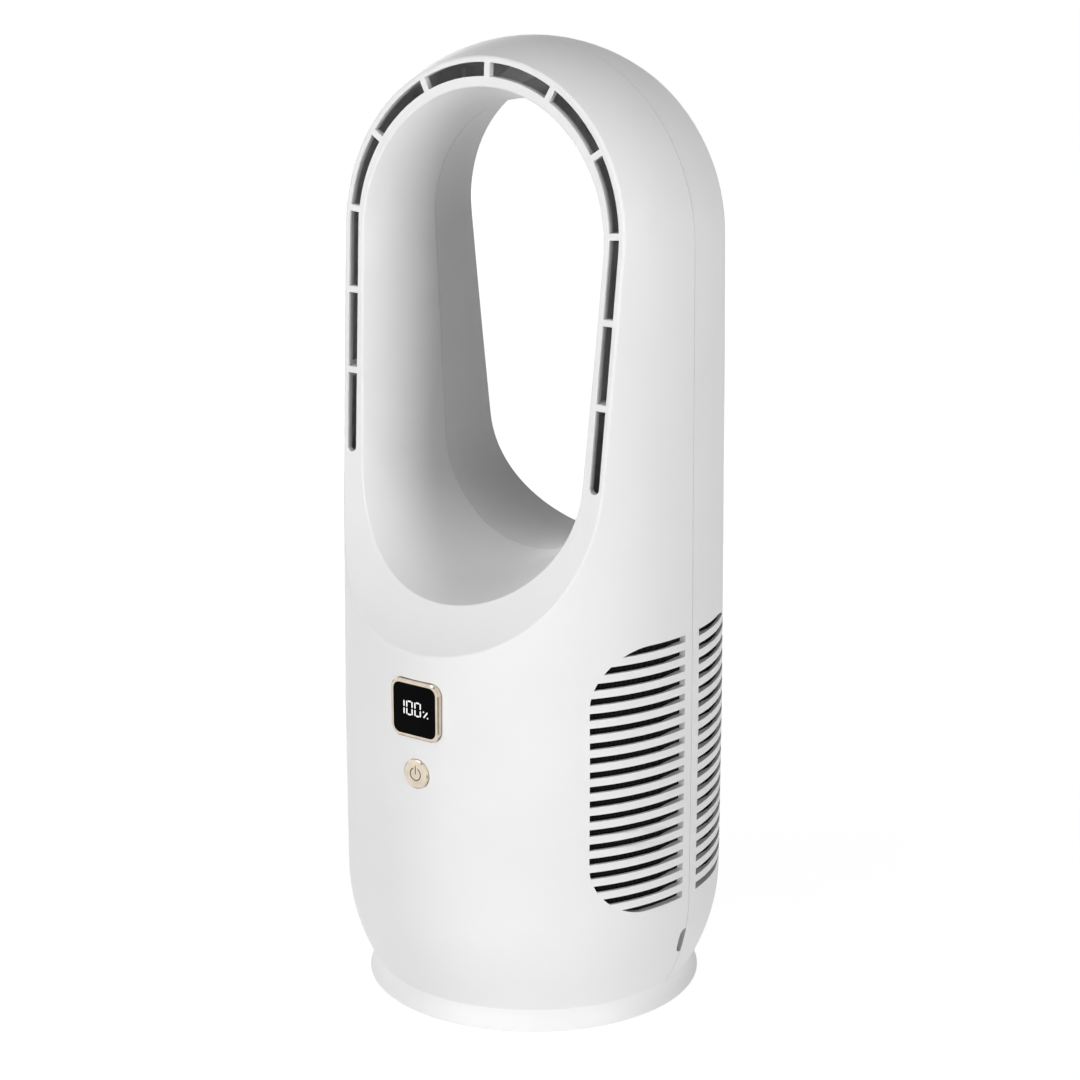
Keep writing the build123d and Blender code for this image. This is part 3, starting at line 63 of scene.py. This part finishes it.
MM = 0.001
SHELL_COLOUR = (0.842, 0.842, 0.846, 1)
SHELL_SHADE = (0.815, 0.815, 0.820, 1)
SHELL_ROUGHNESS = 0.46
SHELL_GLOSS = 0.18
SHELL_GRAIN_SCALE = 2600
SHELL_GRAIN_DEPTH = 0.004 * MM
PLASTIC_CLOUD_SCALE = 22
PLASTIC_ROUGHNESS_SPREAD = 0.04
BLEND_START = 0.3
BLEND_END = 0.7


def new_material(name):
    """Node material, with its node tree and its Principled shader."""
    material = bpy.data.materials.new(name)
    material.use_nodes = True
    tree = material.node_tree
    return material, tree, tree.nodes["Principled BSDF"]


def object_noise(tree, scale, detail=2.0, stretch=(1, 1, 1)):
    """Noise that is fixed to the piece."""
    place = tree.nodes.new("ShaderNodeTexCoord")
    mapping = tree.nodes.new("ShaderNodeMapping")
    mapping.inputs["Scale"].default_value = stretch
    noise = tree.nodes.new("ShaderNodeTexNoise")
    noise.inputs["Scale"].default_value = scale
    noise.inputs["Detail"].default_value = detail
    tree.links.new(place.outputs["Object"], mapping.inputs["Vector"])
    tree.links.new(mapping.outputs["Vector"], noise.inputs["Vector"])
    return noise.outputs["Fac"]


def blend_colours(tree, share, first, second):
    """Colour that goes from the first to the second with a share."""
    ramp = tree.nodes.new("ShaderNodeValToRGB")
    ramp.color_ramp.elements[0].position = BLEND_START
    ramp.color_ramp.elements[1].position = BLEND_END
    ramp.color_ramp.elements[0].color = first
    ramp.color_ramp.elements[1].color = second
    tree.links.new(share, ramp.inputs["Fac"])
    return ramp.outputs["Color"]


def spread(tree, share, low, high):
    """A share turned into a value between two limits."""
    span = tree.nodes.new("ShaderNodeMapRange")
    span.inputs["To Min"].default_value = low
    span.inputs["To Max"].default_value = high
    tree.links.new(share, span.inputs["Value"])
    return span.outputs["Result"]


def raise_surface(tree, shader, share, depth):
    """Fine relief of a depth in metres."""
    bump = tree.nodes.new("ShaderNodeBump")
    bump.inputs["Distance"].default_value = depth
    tree.links.new(share, bump.inputs["Height"])
    tree.links.new(bump.outputs["Normal"], shader.inputs["Normal"])


def moulded_plastic(name, colour, shade, roughness, grain_scale, grain_depth, gloss=0.5):
    """Moulded plastic: a faint cloudiness in colour and gloss, and a fine grain."""
    material, tree, shader = new_material(name)
    shader.inputs["Specular IOR Level"].default_value = gloss
    cloud = object_noise(tree, PLASTIC_CLOUD_SCALE)
    grain = object_noise(tree, grain_scale, detail=1.0)
    tree.links.new(blend_colours(tree, cloud, shade, colour), shader.inputs["Base Color"])
    smoothest = roughness - PLASTIC_ROUGHNESS_SPREAD
    roughest = roughness + PLASTIC_ROUGHNESS_SPREAD
    tree.links.new(spread(tree, grain, smoothest, roughest), shader.inputs["Roughness"])
    raise_surface(tree, shader, grain, grain_depth)
    return material


def finish_node(name, material):
    """Gives a CAD node its finish."""
    slots = nodes[name].data.materials
    if not slots:
        slots.append(material)
    for i in range(len(slots)):
        slots[i] = material


shell_plastic = moulded_plastic(
    "shell_white_plastic", SHELL_COLOUR, SHELL_SHADE, SHELL_ROUGHNESS, SHELL_GRAIN_SCALE,
    SHELL_GRAIN_DEPTH, gloss=SHELL_GLOSS)
finish_node("front_housing", shell_plastic)
finish_node("rear_housing", shell_plastic)


# Dust nets: four curved sheets of black nylon in a plain weave, glued inside the wall, one
# behind each panel of the grilles.

NET_THREAD_SCALE = 420
NET_THREAD_WANDER = 0.4
NET_THREAD_RELIEF = 0.1 * MM
NET_GAP_COLOUR = (0.003, 0.003, 0.003, 1)
NET_THREAD_COLOUR = (0.012, 0.012, 0.012, 1)
NET_GAP_ROUGHNESS = 0.9
NET_THREAD_ROUGHNESS = 0.7
NET_GLOSS = 0.1

net_nylon, tree, shader = new_material("net_black_nylon")
place = tree.nodes.new("ShaderNodeTexCoord")
threads = []
for direction in ("X", "Z"):
    wave = tree.nodes.new("ShaderNodeTexWave")
    wave.bands_direction = direction
    wave.inputs["Scale"].default_value = NET_THREAD_SCALE
    wave.inputs["Distortion"].default_value = NET_THREAD_WANDER
    tree.links.new(place.outputs["Object"], wave.inputs["Vector"])
    threads.append(wave.outputs["Fac"])
weave = tree.nodes.new("ShaderNodeMath")
weave.operation = "MULTIPLY"
tree.links.new(threads[0], weave.inputs[0])
tree.links.new(threads[1], weave.inputs[1])
woven = weave.outputs["Value"]
net_colour = blend_colours(tree, woven, NET_GAP_COLOUR, NET_THREAD_COLOUR)
tree.links.new(net_colour, shader.inputs["Base Color"])
shader.inputs["Specular IOR Level"].default_value = NET_GLOSS
net_roughness = spread(tree, woven, NET_GAP_ROUGHNESS, NET_THREAD_ROUGHNESS)
tree.links.new(net_roughness, shader.inputs["Roughness"])
raise_surface(tree, shader, woven, NET_THREAD_RELIEF)
finish_node("dust_nets", net_nylon)


# Base foot: a flared dish moulded in a slightly brighter white, with screws from below that
# hold both housings to it.

FOOT_COLOUR = (0.862, 0.862, 0.865, 1)
FOOT_SHADE = (0.84, 0.84, 0.843, 1)
FOOT_ROUGHNESS = 0.44

foot_plastic = moulded_plastic(
    "foot_white_plastic", FOOT_COLOUR, FOOT_SHADE, FOOT_ROUGHNESS, SHELL_GRAIN_SCALE,
    SHELL_GRAIN_DEPTH, gloss=SHELL_GLOSS)
finish_node("base_foot", foot_plastic)


# Foot pads: soft discs of dark rubber with a coarse matt face, seated under the foot so that
# the fan doesn't slide.

PAD_COLOUR = (0.035, 0.035, 0.037, 1)
PAD_SHADE = (0.022, 0.022, 0.024, 1)
PAD_ROUGHNESS = 0.75
PAD_GRAIN_SCALE = 1500
PAD_GRAIN_DEPTH = 0.02 * MM

pad_rubber = moulded_plastic(
    "pad_rubber", PAD_COLOUR, PAD_SHADE, PAD_ROUGHNESS, PAD_GRAIN_SCALE, PAD_GRAIN_DEPTH)
finish_node("foot_pads", pad_rubber)


# Display bezel: a zinc frame with rounded corners, plated in champagne and lightly polished. A
# flange behind the wall holds it.

PLATING = (0.70, 0.61, 0.50, 1)
PLATING_SHADE = (0.60, 0.52, 0.42, 1)
PLATING_CLOUD_SCALE = 300
PLATING_GRAIN_SCALE = 6000
PLATING_ROUGHNESS_SPREAD = 0.05
# Painted reflections: the colour darkens by its turn from the view, in a streak and towards the
# edges.
FACING_TURN = 0.03
PAINTED_FACING_LEVEL = (0.92, 0.92, 0.92, 1)
PAINTED_REFLECTION_STREAKS = ((0.05, 0.4), (0.075, 0.4), (0.11, 1.0), (0.52, 1.0), (0.66, 0.30))
PAINTED_EDGE_SHADE_TURN = 0.88
PAINTED_EDGE_SHADE = (0.015, 0.012, 0.010, 1)
BEZEL_ROUGHNESS = 0.16
BEZEL_GRAIN_DEPTH = 0.001 * MM


def plated_metal_with_painted_reflections(name, roughness, grain_depth):
    """Polished champagne plating, with a painted reflection streak and painted shade where it
    turns away.
    """
    material, tree, shader = new_material(name)
    cloud = object_noise(tree, PLATING_CLOUD_SCALE)
    grain = object_noise(tree, PLATING_GRAIN_SCALE, detail=1.0)
    turn = tree.nodes.new("ShaderNodeLayerWeight")
    painted_reflections = tree.nodes.new("ShaderNodeValToRGB")
    ramp = painted_reflections.color_ramp
    ramp.elements[0].position = FACING_TURN
    ramp.elements[0].color = PAINTED_FACING_LEVEL
    ramp.elements[1].position = PAINTED_EDGE_SHADE_TURN
    ramp.elements[1].color = PAINTED_EDGE_SHADE
    for position, level in PAINTED_REFLECTION_STREAKS:
        ramp.elements.new(position).color = (level, level, level, 1)
    tree.links.new(turn.outputs["Facing"], painted_reflections.inputs["Fac"])
    painted_reflection_tint = tree.nodes.new("ShaderNodeMix")
    painted_reflection_tint.data_type = "RGBA"
    painted_reflection_tint.blend_type = "MULTIPLY"
    painted_reflection_tint.inputs["Factor"].default_value = 1.0
    tree.links.new(blend_colours(tree, cloud, PLATING_SHADE, PLATING), painted_reflection_tint.inputs["A"])
    tree.links.new(painted_reflections.outputs["Color"], painted_reflection_tint.inputs["B"])
    tree.links.new(painted_reflection_tint.outputs["Result"], shader.inputs["Base Color"])
    smoothest = roughness - PLATING_ROUGHNESS_SPREAD
    roughest = roughness + PLATING_ROUGHNESS_SPREAD
    tree.links.new(spread(tree, grain, smoothest, roughest), shader.inputs["Roughness"])
    shader.inputs["Metallic"].default_value = 1.0
    raise_surface(tree, shader, grain, grain_depth)
    return material


bezel_plating = plated_metal_with_painted_reflections("bezel_champagne_plating", BEZEL_ROUGHNESS, BEZEL_GRAIN_DEPTH)
finish_node("display_bezel", bezel_plating)


# Display lens: a polished window of black acrylic that sits in the bezel and hides the digit
# block behind it.

LENS_COLOUR = (0.0006, 0.0006, 0.0007, 1)
LENS_SMEAR_COLOUR = (0.0014, 0.0014, 0.0016, 1)
LENS_SMEAR_SCALE = 90
LENS_ROUGHNESS = 0.03
LENS_SMEAR_ROUGHNESS = 0.09
LENS_IOR = 1.49
LENS_GLOSS = 0.03

lens_acrylic, tree, shader = new_material("lens_black_acrylic")
smear = object_noise(tree, LENS_SMEAR_SCALE)
lens_colour = blend_colours(tree, smear, LENS_COLOUR, LENS_SMEAR_COLOUR)
tree.links.new(lens_colour, shader.inputs["Base Color"])
lens_roughness = spread(tree, smear, LENS_ROUGHNESS, LENS_SMEAR_ROUGHNESS)
tree.links.new(lens_roughness, shader.inputs["Roughness"])
shader.inputs["IOR"].default_value = LENS_IOR
shader.inputs["Specular IOR Level"].default_value = LENS_GLOSS
finish_node("display_lens", lens_acrylic)


# Display digits: lit segments of the digit block, seen through the lens as a plain "100%".
# They are flat bars with clipped corners that lie on the face of the lens.

DIGIT_HEIGHT = 5.0 * MM
DIGIT_WIDTH = 2.7 * MM
DIGIT_STROKE = 0.5 * MM
DIGIT_GAP = 0.12 * MM
DIGIT_CLIP = 0.2 * MM
DIGIT_LIFT = 0.3 * MM
DIGIT_THICKNESS = 0.03 * MM
ONE_X = -4.45 * MM
ZERO_XS = (-2.2 * MM, 1.2 * MM)
PERCENT_X = 4.45 * MM
PERCENT_HEIGHT = 2.6 * MM
PERCENT_SLANT = -52
PERCENT_DOT_LENGTH = 0.6 * MM
PERCENT_DOT_X = 0.84 * MM
PERCENT_DOT_Z = 0.936 * MM
DIGIT_GLOW_COLOUR = (0.93, 0.95, 0.97, 1)
DIGIT_GLOW_BRIGHT = (1, 1, 1, 1)
DIGIT_GLOW_SCALE = 900
DIGIT_GLOW_STRENGTH = 1.0
DIGIT_COLOUR = (0.05, 0.05, 0.05, 1)
DIGIT_ROUGHNESS = 0.5

lens_low, lens_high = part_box("display_lens")
digit_y = lens_low.y - DIGIT_THICKNESS / 2
digit_z = (lens_low.z + lens_high.z) / 2 + DIGIT_LIFT


def light_bar(length, x, z, turn=0.0):
    """One lit segment, centred at a place on the lens."""
    bpy.ops.object.select_all(action="DESELECT")
    bpy.ops.mesh.primitive_cube_add(size=1)
    bar = bpy.context.object
    bar.scale = (length, DIGIT_THICKNESS, DIGIT_STROKE)
    bpy.ops.object.transform_apply(location=False, rotation=False, scale=True)
    bpy.ops.object.mode_set(mode="EDIT")
    bpy.ops.mesh.select_all(action="DESELECT")
    mesh = bmesh.from_edit_mesh(bar.data)
    for edge in mesh.edges:
        run = edge.verts[0].co - edge.verts[1].co
        edge.select_set(abs(run.y) > abs(run.x) + abs(run.z))
    bmesh.update_edit_mesh(bar.data)
    bpy.ops.mesh.bevel(offset=DIGIT_CLIP, segments=1)
    bpy.ops.object.mode_set(mode="OBJECT")
    bar.location = (x, digit_y, digit_z + z)
    bar.rotation_euler = (0, turn, 0)
    bpy.ops.object.transform_apply(location=True, rotation=True, scale=False)
    return bar


half_bar = DIGIT_HEIGHT / 2 - DIGIT_STROKE / 2 - DIGIT_GAP
rise = DIGIT_HEIGHT / 4
bars = [light_bar(half_bar, ONE_X, side * rise, radians(90)) for side in (-1, 1)]
for x in ZERO_XS:
    reach = (DIGIT_WIDTH - DIGIT_STROKE) / 2
    for side in (-1, 1):
        for level in (-1, 1):
            bars.append(light_bar(half_bar, x + side * reach, level * rise, radians(90)))
        level_z = side * (DIGIT_HEIGHT - DIGIT_STROKE) / 2
        bars.append(light_bar(DIGIT_WIDTH - 2 * DIGIT_STROKE - 2 * DIGIT_GAP, x, level_z))
percent_z = (PERCENT_HEIGHT - DIGIT_HEIGHT) / 2
bars.append(light_bar(PERCENT_HEIGHT, PERCENT_X, percent_z, radians(PERCENT_SLANT)))
for side in (-1, 1):
    dot_x = PERCENT_X + side * PERCENT_DOT_X
    dot_z = percent_z - side * PERCENT_DOT_Z
    bars.append(light_bar(PERCENT_DOT_LENGTH, dot_x, dot_z))

bpy.ops.object.select_all(action="DESELECT")
for bar in bars:
    bar.select_set(True)
bpy.context.view_layer.objects.active = bars[0]
bpy.ops.object.join()
digits = bpy.context.object
digits.name = "display_digits"

digit_light, tree, shader = new_material("digit_light")
glow = object_noise(tree, DIGIT_GLOW_SCALE)
glow_colour = blend_colours(tree, glow, DIGIT_GLOW_COLOUR, DIGIT_GLOW_BRIGHT)
tree.links.new(glow_colour, shader.inputs["Emission Color"])
shader.inputs["Emission Strength"].default_value = DIGIT_GLOW_STRENGTH
shader.inputs["Base Color"].default_value = DIGIT_COLOUR
shader.inputs["Roughness"].default_value = DIGIT_ROUGHNESS
digits.data.materials.append(digit_light)
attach(digits, "case")


# Power button: a round cap with a bevelled edge, in satin champagne plating. A flange behind
# the wall keeps it in its hole, and its stem pushes the switch.

BUTTON_ROUGHNESS = 0.34
BUTTON_GRAIN_DEPTH = 0.004 * MM

# Its plating carries the same painted reflections: a dark streak and near-black turned edges.
button_plating = plated_metal_with_painted_reflections("button_champagne_plating", BUTTON_ROUGHNESS, BUTTON_GRAIN_DEPTH)
finish_node("power_button", button_plating)


# Power symbol: a thin dark film laid on the floor of the grooves that are stamped in the button
# cap, painted shade that stands in for the shade that falls in the grooves.

GROOVE_SHADE_THICKNESS = 0.03 * MM
PAINTED_GROOVE_SHADE = (0.05, 0.04, 0.03, 1)
PAINTED_GROOVE_SHADE_FLECK = (0.16, 0.13, 0.10, 1)
GROOVE_SHADE_FLECK_SCALE = 2500
GROOVE_SHADE_ROUGHNESS = 0.3
GROOVE_SHADE_FLECK_ROUGHNESS = 0.5
GROOVE_SHADE_FLECK_DEPTH = 0.005 * MM
STAMP_DEPTH = 0.2 * MM
STAMP_TOLERANCE = 0.02 * MM

button_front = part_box("power_button")[0].y
stamp_floor = button_front + STAMP_DEPTH
bpy.ops.object.select_all(action="DESELECT")
nodes["power_button"].select_set(True)
bpy.context.view_layer.objects.active = nodes["power_button"]
bpy.ops.object.duplicate(linked=False)
symbol = bpy.context.object
symbol.name = "power_symbol"
bpy.ops.object.mode_set(mode="EDIT")
bpy.ops.mesh.select_mode(type="FACE")
bpy.ops.mesh.select_all(action="DESELECT")
mesh = bmesh.from_edit_mesh(symbol.data)
for face in mesh.faces:
    corners = [symbol.matrix_world @ corner.co for corner in face.verts]
    face.select_set(any(abs(corner.y - stamp_floor) > STAMP_TOLERANCE for corner in corners))
bmesh.update_edit_mesh(symbol.data)
bpy.ops.mesh.delete(type="FACE")
bpy.ops.mesh.select_all(action="SELECT")
bpy.ops.mesh.extrude_region_move(TRANSFORM_OT_translate={"value": (0, -GROOVE_SHADE_THICKNESS, 0)})
bpy.ops.mesh.select_all(action="SELECT")
bpy.ops.mesh.normals_make_consistent(inside=False)
bpy.ops.object.mode_set(mode="OBJECT")

# Painted shade: the dark film stands in for the shade that falls in the stamped grooves.
groove_shade, tree, shader = new_material("symbol_painted_groove_shade")
flecks = object_noise(tree, GROOVE_SHADE_FLECK_SCALE)
groove_shade_colour = blend_colours(tree, flecks, PAINTED_GROOVE_SHADE, PAINTED_GROOVE_SHADE_FLECK)
tree.links.new(groove_shade_colour, shader.inputs["Base Color"])
groove_shade_roughness = spread(tree, flecks, GROOVE_SHADE_ROUGHNESS, GROOVE_SHADE_FLECK_ROUGHNESS)
tree.links.new(groove_shade_roughness, shader.inputs["Roughness"])
raise_surface(tree, shader, flecks, GROOVE_SHADE_FLECK_DEPTH)
symbol.data.materials.clear()
symbol.data.materials.append(groove_shade)
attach(symbol, "button")


# Inner pieces of plastic: the duct, the impeller and the battery holders moulded in black, the
# masked boards, the wrapped cells, the connectors and the sleeves of the leads. Each finish has a
# colour, a shade, a roughness and the pieces that it goes on.

INNER_GRAIN_SCALE = 1800
INNER_GRAIN_DEPTH = 0.01 * MM

inner_finishes = {
    "duct_black_plastic": ((0.012, 0.012, 0.013, 1), (0.008, 0.008, 0.009, 1), 0.5,
                           ["duct_deck", "fan_duct", "intake_bell", "impeller", "display_module",
                            "tact_switch", "switch_plunger", "battery_tray", "battery_clamps"]),
    "board_green_mask": ((0.02, 0.09, 0.035, 1), (0.015, 0.07, 0.028, 1), 0.4,
                         ["display_board", "motor_board", "main_board", "charge_board"]),
    "cell_teal_wrap": ((0.05, 0.18, 0.22, 1), (0.04, 0.15, 0.19, 1), 0.35, ["battery_cells"]),
    "connector_ivory": ((0.68, 0.65, 0.54, 1), (0.63, 0.60, 0.49, 1), 0.5, ["board_connectors"]),
    "lead_black_sleeve": ((0.018, 0.018, 0.018, 1), (0.012, 0.012, 0.012, 1), 0.6,
                          ["motor_lead", "display_lead", "charge_lead"]),
    "lead_red_sleeve": ((0.36, 0.02, 0.02, 1), (0.30, 0.015, 0.015, 1), 0.55, ["battery_leads"]),
}
for name, (colour, shade, roughness, members) in inner_finishes.items():
    finish = moulded_plastic(
        name, colour, shade, roughness, INNER_GRAIN_SCALE, INNER_GRAIN_DEPTH)
    for member in members:
        finish_node(member, finish)


# Inner pieces of metal: plated screws, turned and pressed steel round the motor, its core, magnet
# and coils, the brass bearing tube and the nickel tabs of the cells. Each finish has a colour, a
# roughness, the stretch of its tool marks and the pieces that it goes on.

MARK_SCALE = 900
MARK_TONE = 0.85
MARK_DEPTH = 0.003 * MM
METAL_ROUGHNESS_SPREAD = 0.08


def bare_metal(name, colour, roughness, turned):
    """Bare metal with fine tool marks that run round or along."""
    material, tree, shader = new_material(name)
    marks = object_noise(tree, MARK_SCALE, stretch=turned)
    shade = tuple(part * MARK_TONE for part in colour[:3]) + (1,)
    tree.links.new(blend_colours(tree, marks, shade, colour), shader.inputs["Base Color"])
    smoothest = roughness - METAL_ROUGHNESS_SPREAD
    roughest = roughness + METAL_ROUGHNESS_SPREAD
    tree.links.new(spread(tree, marks, smoothest, roughest), shader.inputs["Roughness"])
    shader.inputs["Metallic"].default_value = 1.0
    raise_surface(tree, shader, marks, MARK_DEPTH)
    return material


metal_finishes = {
    "zinc_steel": ((0.62, 0.62, 0.64, 1), 0.32, (1, 1, 4),
                   ["base_screws", "display_screws", "duct_screws", "tray_screws", "board_screws",
                    "impeller_nut"]),
    "turned_steel": ((0.60, 0.60, 0.62, 1), 0.25, (0.2, 0.2, 6),
                     ["motor_bearings", "rotor_can", "motor_shaft", "charge_socket"]),
    "laminated_steel": ((0.30, 0.30, 0.32, 1), 0.5, (0.1, 0.1, 12), ["stator_core"]),
    "magnet_ferrite": ((0.10, 0.10, 0.11, 1), 0.55, (1, 1, 1), ["rotor_magnet"]),
    "turned_brass": ((0.66, 0.50, 0.24, 1), 0.28, (0.2, 0.2, 6), ["bearing_tube"]),
    "enamelled_copper": ((0.66, 0.30, 0.15, 1), 0.3, (1, 1, 8), ["motor_windings"]),
    "bright_nickel": ((0.72, 0.70, 0.64, 1), 0.2, (1, 5, 1), ["cell_tabs"]),
}
for name, (colour, roughness, turned, members) in metal_finishes.items():
    finish = bare_metal(name, colour, roughness, turned)
    for member in members:
        finish_node(member, finish)


# Stage: a wide pale floor that keeps the fan's faint shadow, in a white studio. The floor glows
# where it is seen or mirrored, a little less close to the fan, and is paper to other light.

FLOOR_SIZE = 40
FLOOR_COLOUR = (0.85, 0.85, 0.85, 1)
FLOOR_PATCH_SCALE = 3
FLOOR_ROUGHNESS = 0.85
FLOOR_PATCH_ROUGHNESS = 0.95
FLOOR_GLOW = 0.92
FLOOR_GLOW_FAR = 1.0
FLOOR_NEAR = 0.15
FLOOR_FAR = 0.7
FLOOR_KEEP = 0.25
ROOM_LEVEL = 0.02
ROOM_COLOUR = (1, 1, 1, 1)
BACKDROP_LEVEL = 1.0


def seen_directly(tree):
    """1 for rays from the camera, off gloss or through glass, and 0 for the light that falls."""
    rays = tree.nodes.new("ShaderNodeLightPath")
    either = tree.nodes.new("ShaderNodeMath")
    either.operation = "MAXIMUM"
    tree.links.new(rays.outputs["Is Camera Ray"], either.inputs[0])
    tree.links.new(rays.outputs["Is Glossy Ray"], either.inputs[1])
    any_seen = tree.nodes.new("ShaderNodeMath")
    any_seen.operation = "MAXIMUM"
    tree.links.new(either.outputs["Value"], any_seen.inputs[0])
    tree.links.new(rays.outputs["Is Transmission Ray"], any_seen.inputs[1])
    return any_seen.outputs["Value"]


bpy.ops.object.select_all(action="DESELECT")
bpy.ops.mesh.primitive_plane_add(size=FLOOR_SIZE, location=(0, 0, 0))
floor = bpy.context.object
floor.name = "floor"
paper, tree, shader = new_material("floor_white_paper")
shader.inputs["Base Color"].default_value = FLOOR_COLOUR
patches = object_noise(tree, FLOOR_PATCH_SCALE)
floor_roughness = spread(tree, patches, FLOOR_ROUGHNESS, FLOOR_PATCH_ROUGHNESS)
tree.links.new(floor_roughness, shader.inputs["Roughness"])
seen_paper = tree.nodes.new("ShaderNodeBsdfDiffuse")
seen_paper.inputs["Color"].default_value = (FLOOR_KEEP, FLOOR_KEEP, FLOOR_KEEP, 1)
glow = tree.nodes.new("ShaderNodeEmission")
place = tree.nodes.new("ShaderNodeTexCoord")
distance = tree.nodes.new("ShaderNodeVectorMath")
distance.operation = "LENGTH"
tree.links.new(place.outputs["Object"], distance.inputs[0])
brighten = tree.nodes.new("ShaderNodeMapRange")
brighten.interpolation_type = "SMOOTHSTEP"
for socket, value in (("From Min", FLOOR_NEAR), ("From Max", FLOOR_FAR),
                      ("To Min", FLOOR_GLOW), ("To Max", FLOOR_GLOW_FAR)):
    brighten.inputs[socket].default_value = value
tree.links.new(distance.outputs["Value"], brighten.inputs["Value"])
tree.links.new(brighten.outputs["Result"], glow.inputs["Strength"])
seen = tree.nodes.new("ShaderNodeAddShader")
tree.links.new(seen_paper.outputs["BSDF"], seen.inputs[0])
tree.links.new(glow.outputs["Emission"], seen.inputs[1])
mix = tree.nodes.new("ShaderNodeMixShader")
tree.links.new(seen_directly(tree), mix.inputs["Fac"])
tree.links.new(shader.outputs["BSDF"], mix.inputs[1])
tree.links.new(seen.outputs["Shader"], mix.inputs[2])
tree.links.new(mix.outputs["Shader"], tree.nodes["Material Output"].inputs["Surface"])
floor.data.materials.append(paper)

world = bpy.data.worlds.new("studio")
bpy.context.scene.world = world
world.use_nodes = True
tree = world.node_tree
room = tree.nodes["Background"]
room.inputs["Color"].default_value = ROOM_COLOUR
room.inputs["Strength"].default_value = ROOM_LEVEL
backdrop = tree.nodes.new("ShaderNodeBackground")
backdrop.inputs["Color"].default_value = ROOM_COLOUR
backdrop.inputs["Strength"].default_value = BACKDROP_LEVEL
mix = tree.nodes.new("ShaderNodeMixShader")
tree.links.new(seen_directly(tree), mix.inputs["Fac"])
tree.links.new(room.outputs["Background"], mix.inputs[1])
tree.links.new(backdrop.outputs["Background"], mix.inputs[2])
tree.links.new(mix.outputs["Shader"], tree.nodes["World Output"].inputs["Surface"])


# Softboxes: square lamps two metres off, that face the middle of the fan. The strongest two
# light the front and the right side, and the others fill the rest.

LAMP_DISTANCE = 2.0
LAMP_AIM = Vector((0, 0, 0.16))


def softbox(name, around, up, size, power):
    """Lamp at an angle round from the front, towards the right, and an angle up."""
    turn = Vector((0, -LAMP_DISTANCE, 0))
    turn.rotate(Euler((radians(-up), 0, 0)))
    turn.rotate(Euler((0, 0, radians(around))))
    bpy.ops.object.light_add(type="AREA", location=LAMP_AIM + turn)
    lamp = bpy.context.object
    lamp.name = name
    lamp.data.shape = "SQUARE"
    lamp.data.size = size
    lamp.data.energy = power
    lamp.visible_camera = False
    lamp.rotation_euler = (-turn).to_track_quat("-Z", "Y").to_euler()


softbox("front_softbox", around=-8, up=8, size=1.0, power=21.2)
softbox("right_softbox", around=80, up=7, size=0.65, power=20.5)
softbox("left_softbox", around=-80, up=6, size=0.8, power=2.6)
softbox("high_front_softbox", around=-22, up=45, size=0.8, power=6.5)
softbox("top_softbox", around=45, up=70, size=0.9, power=4.5)
softbox("rear_softbox", around=-128, up=6, size=1.0, power=9)
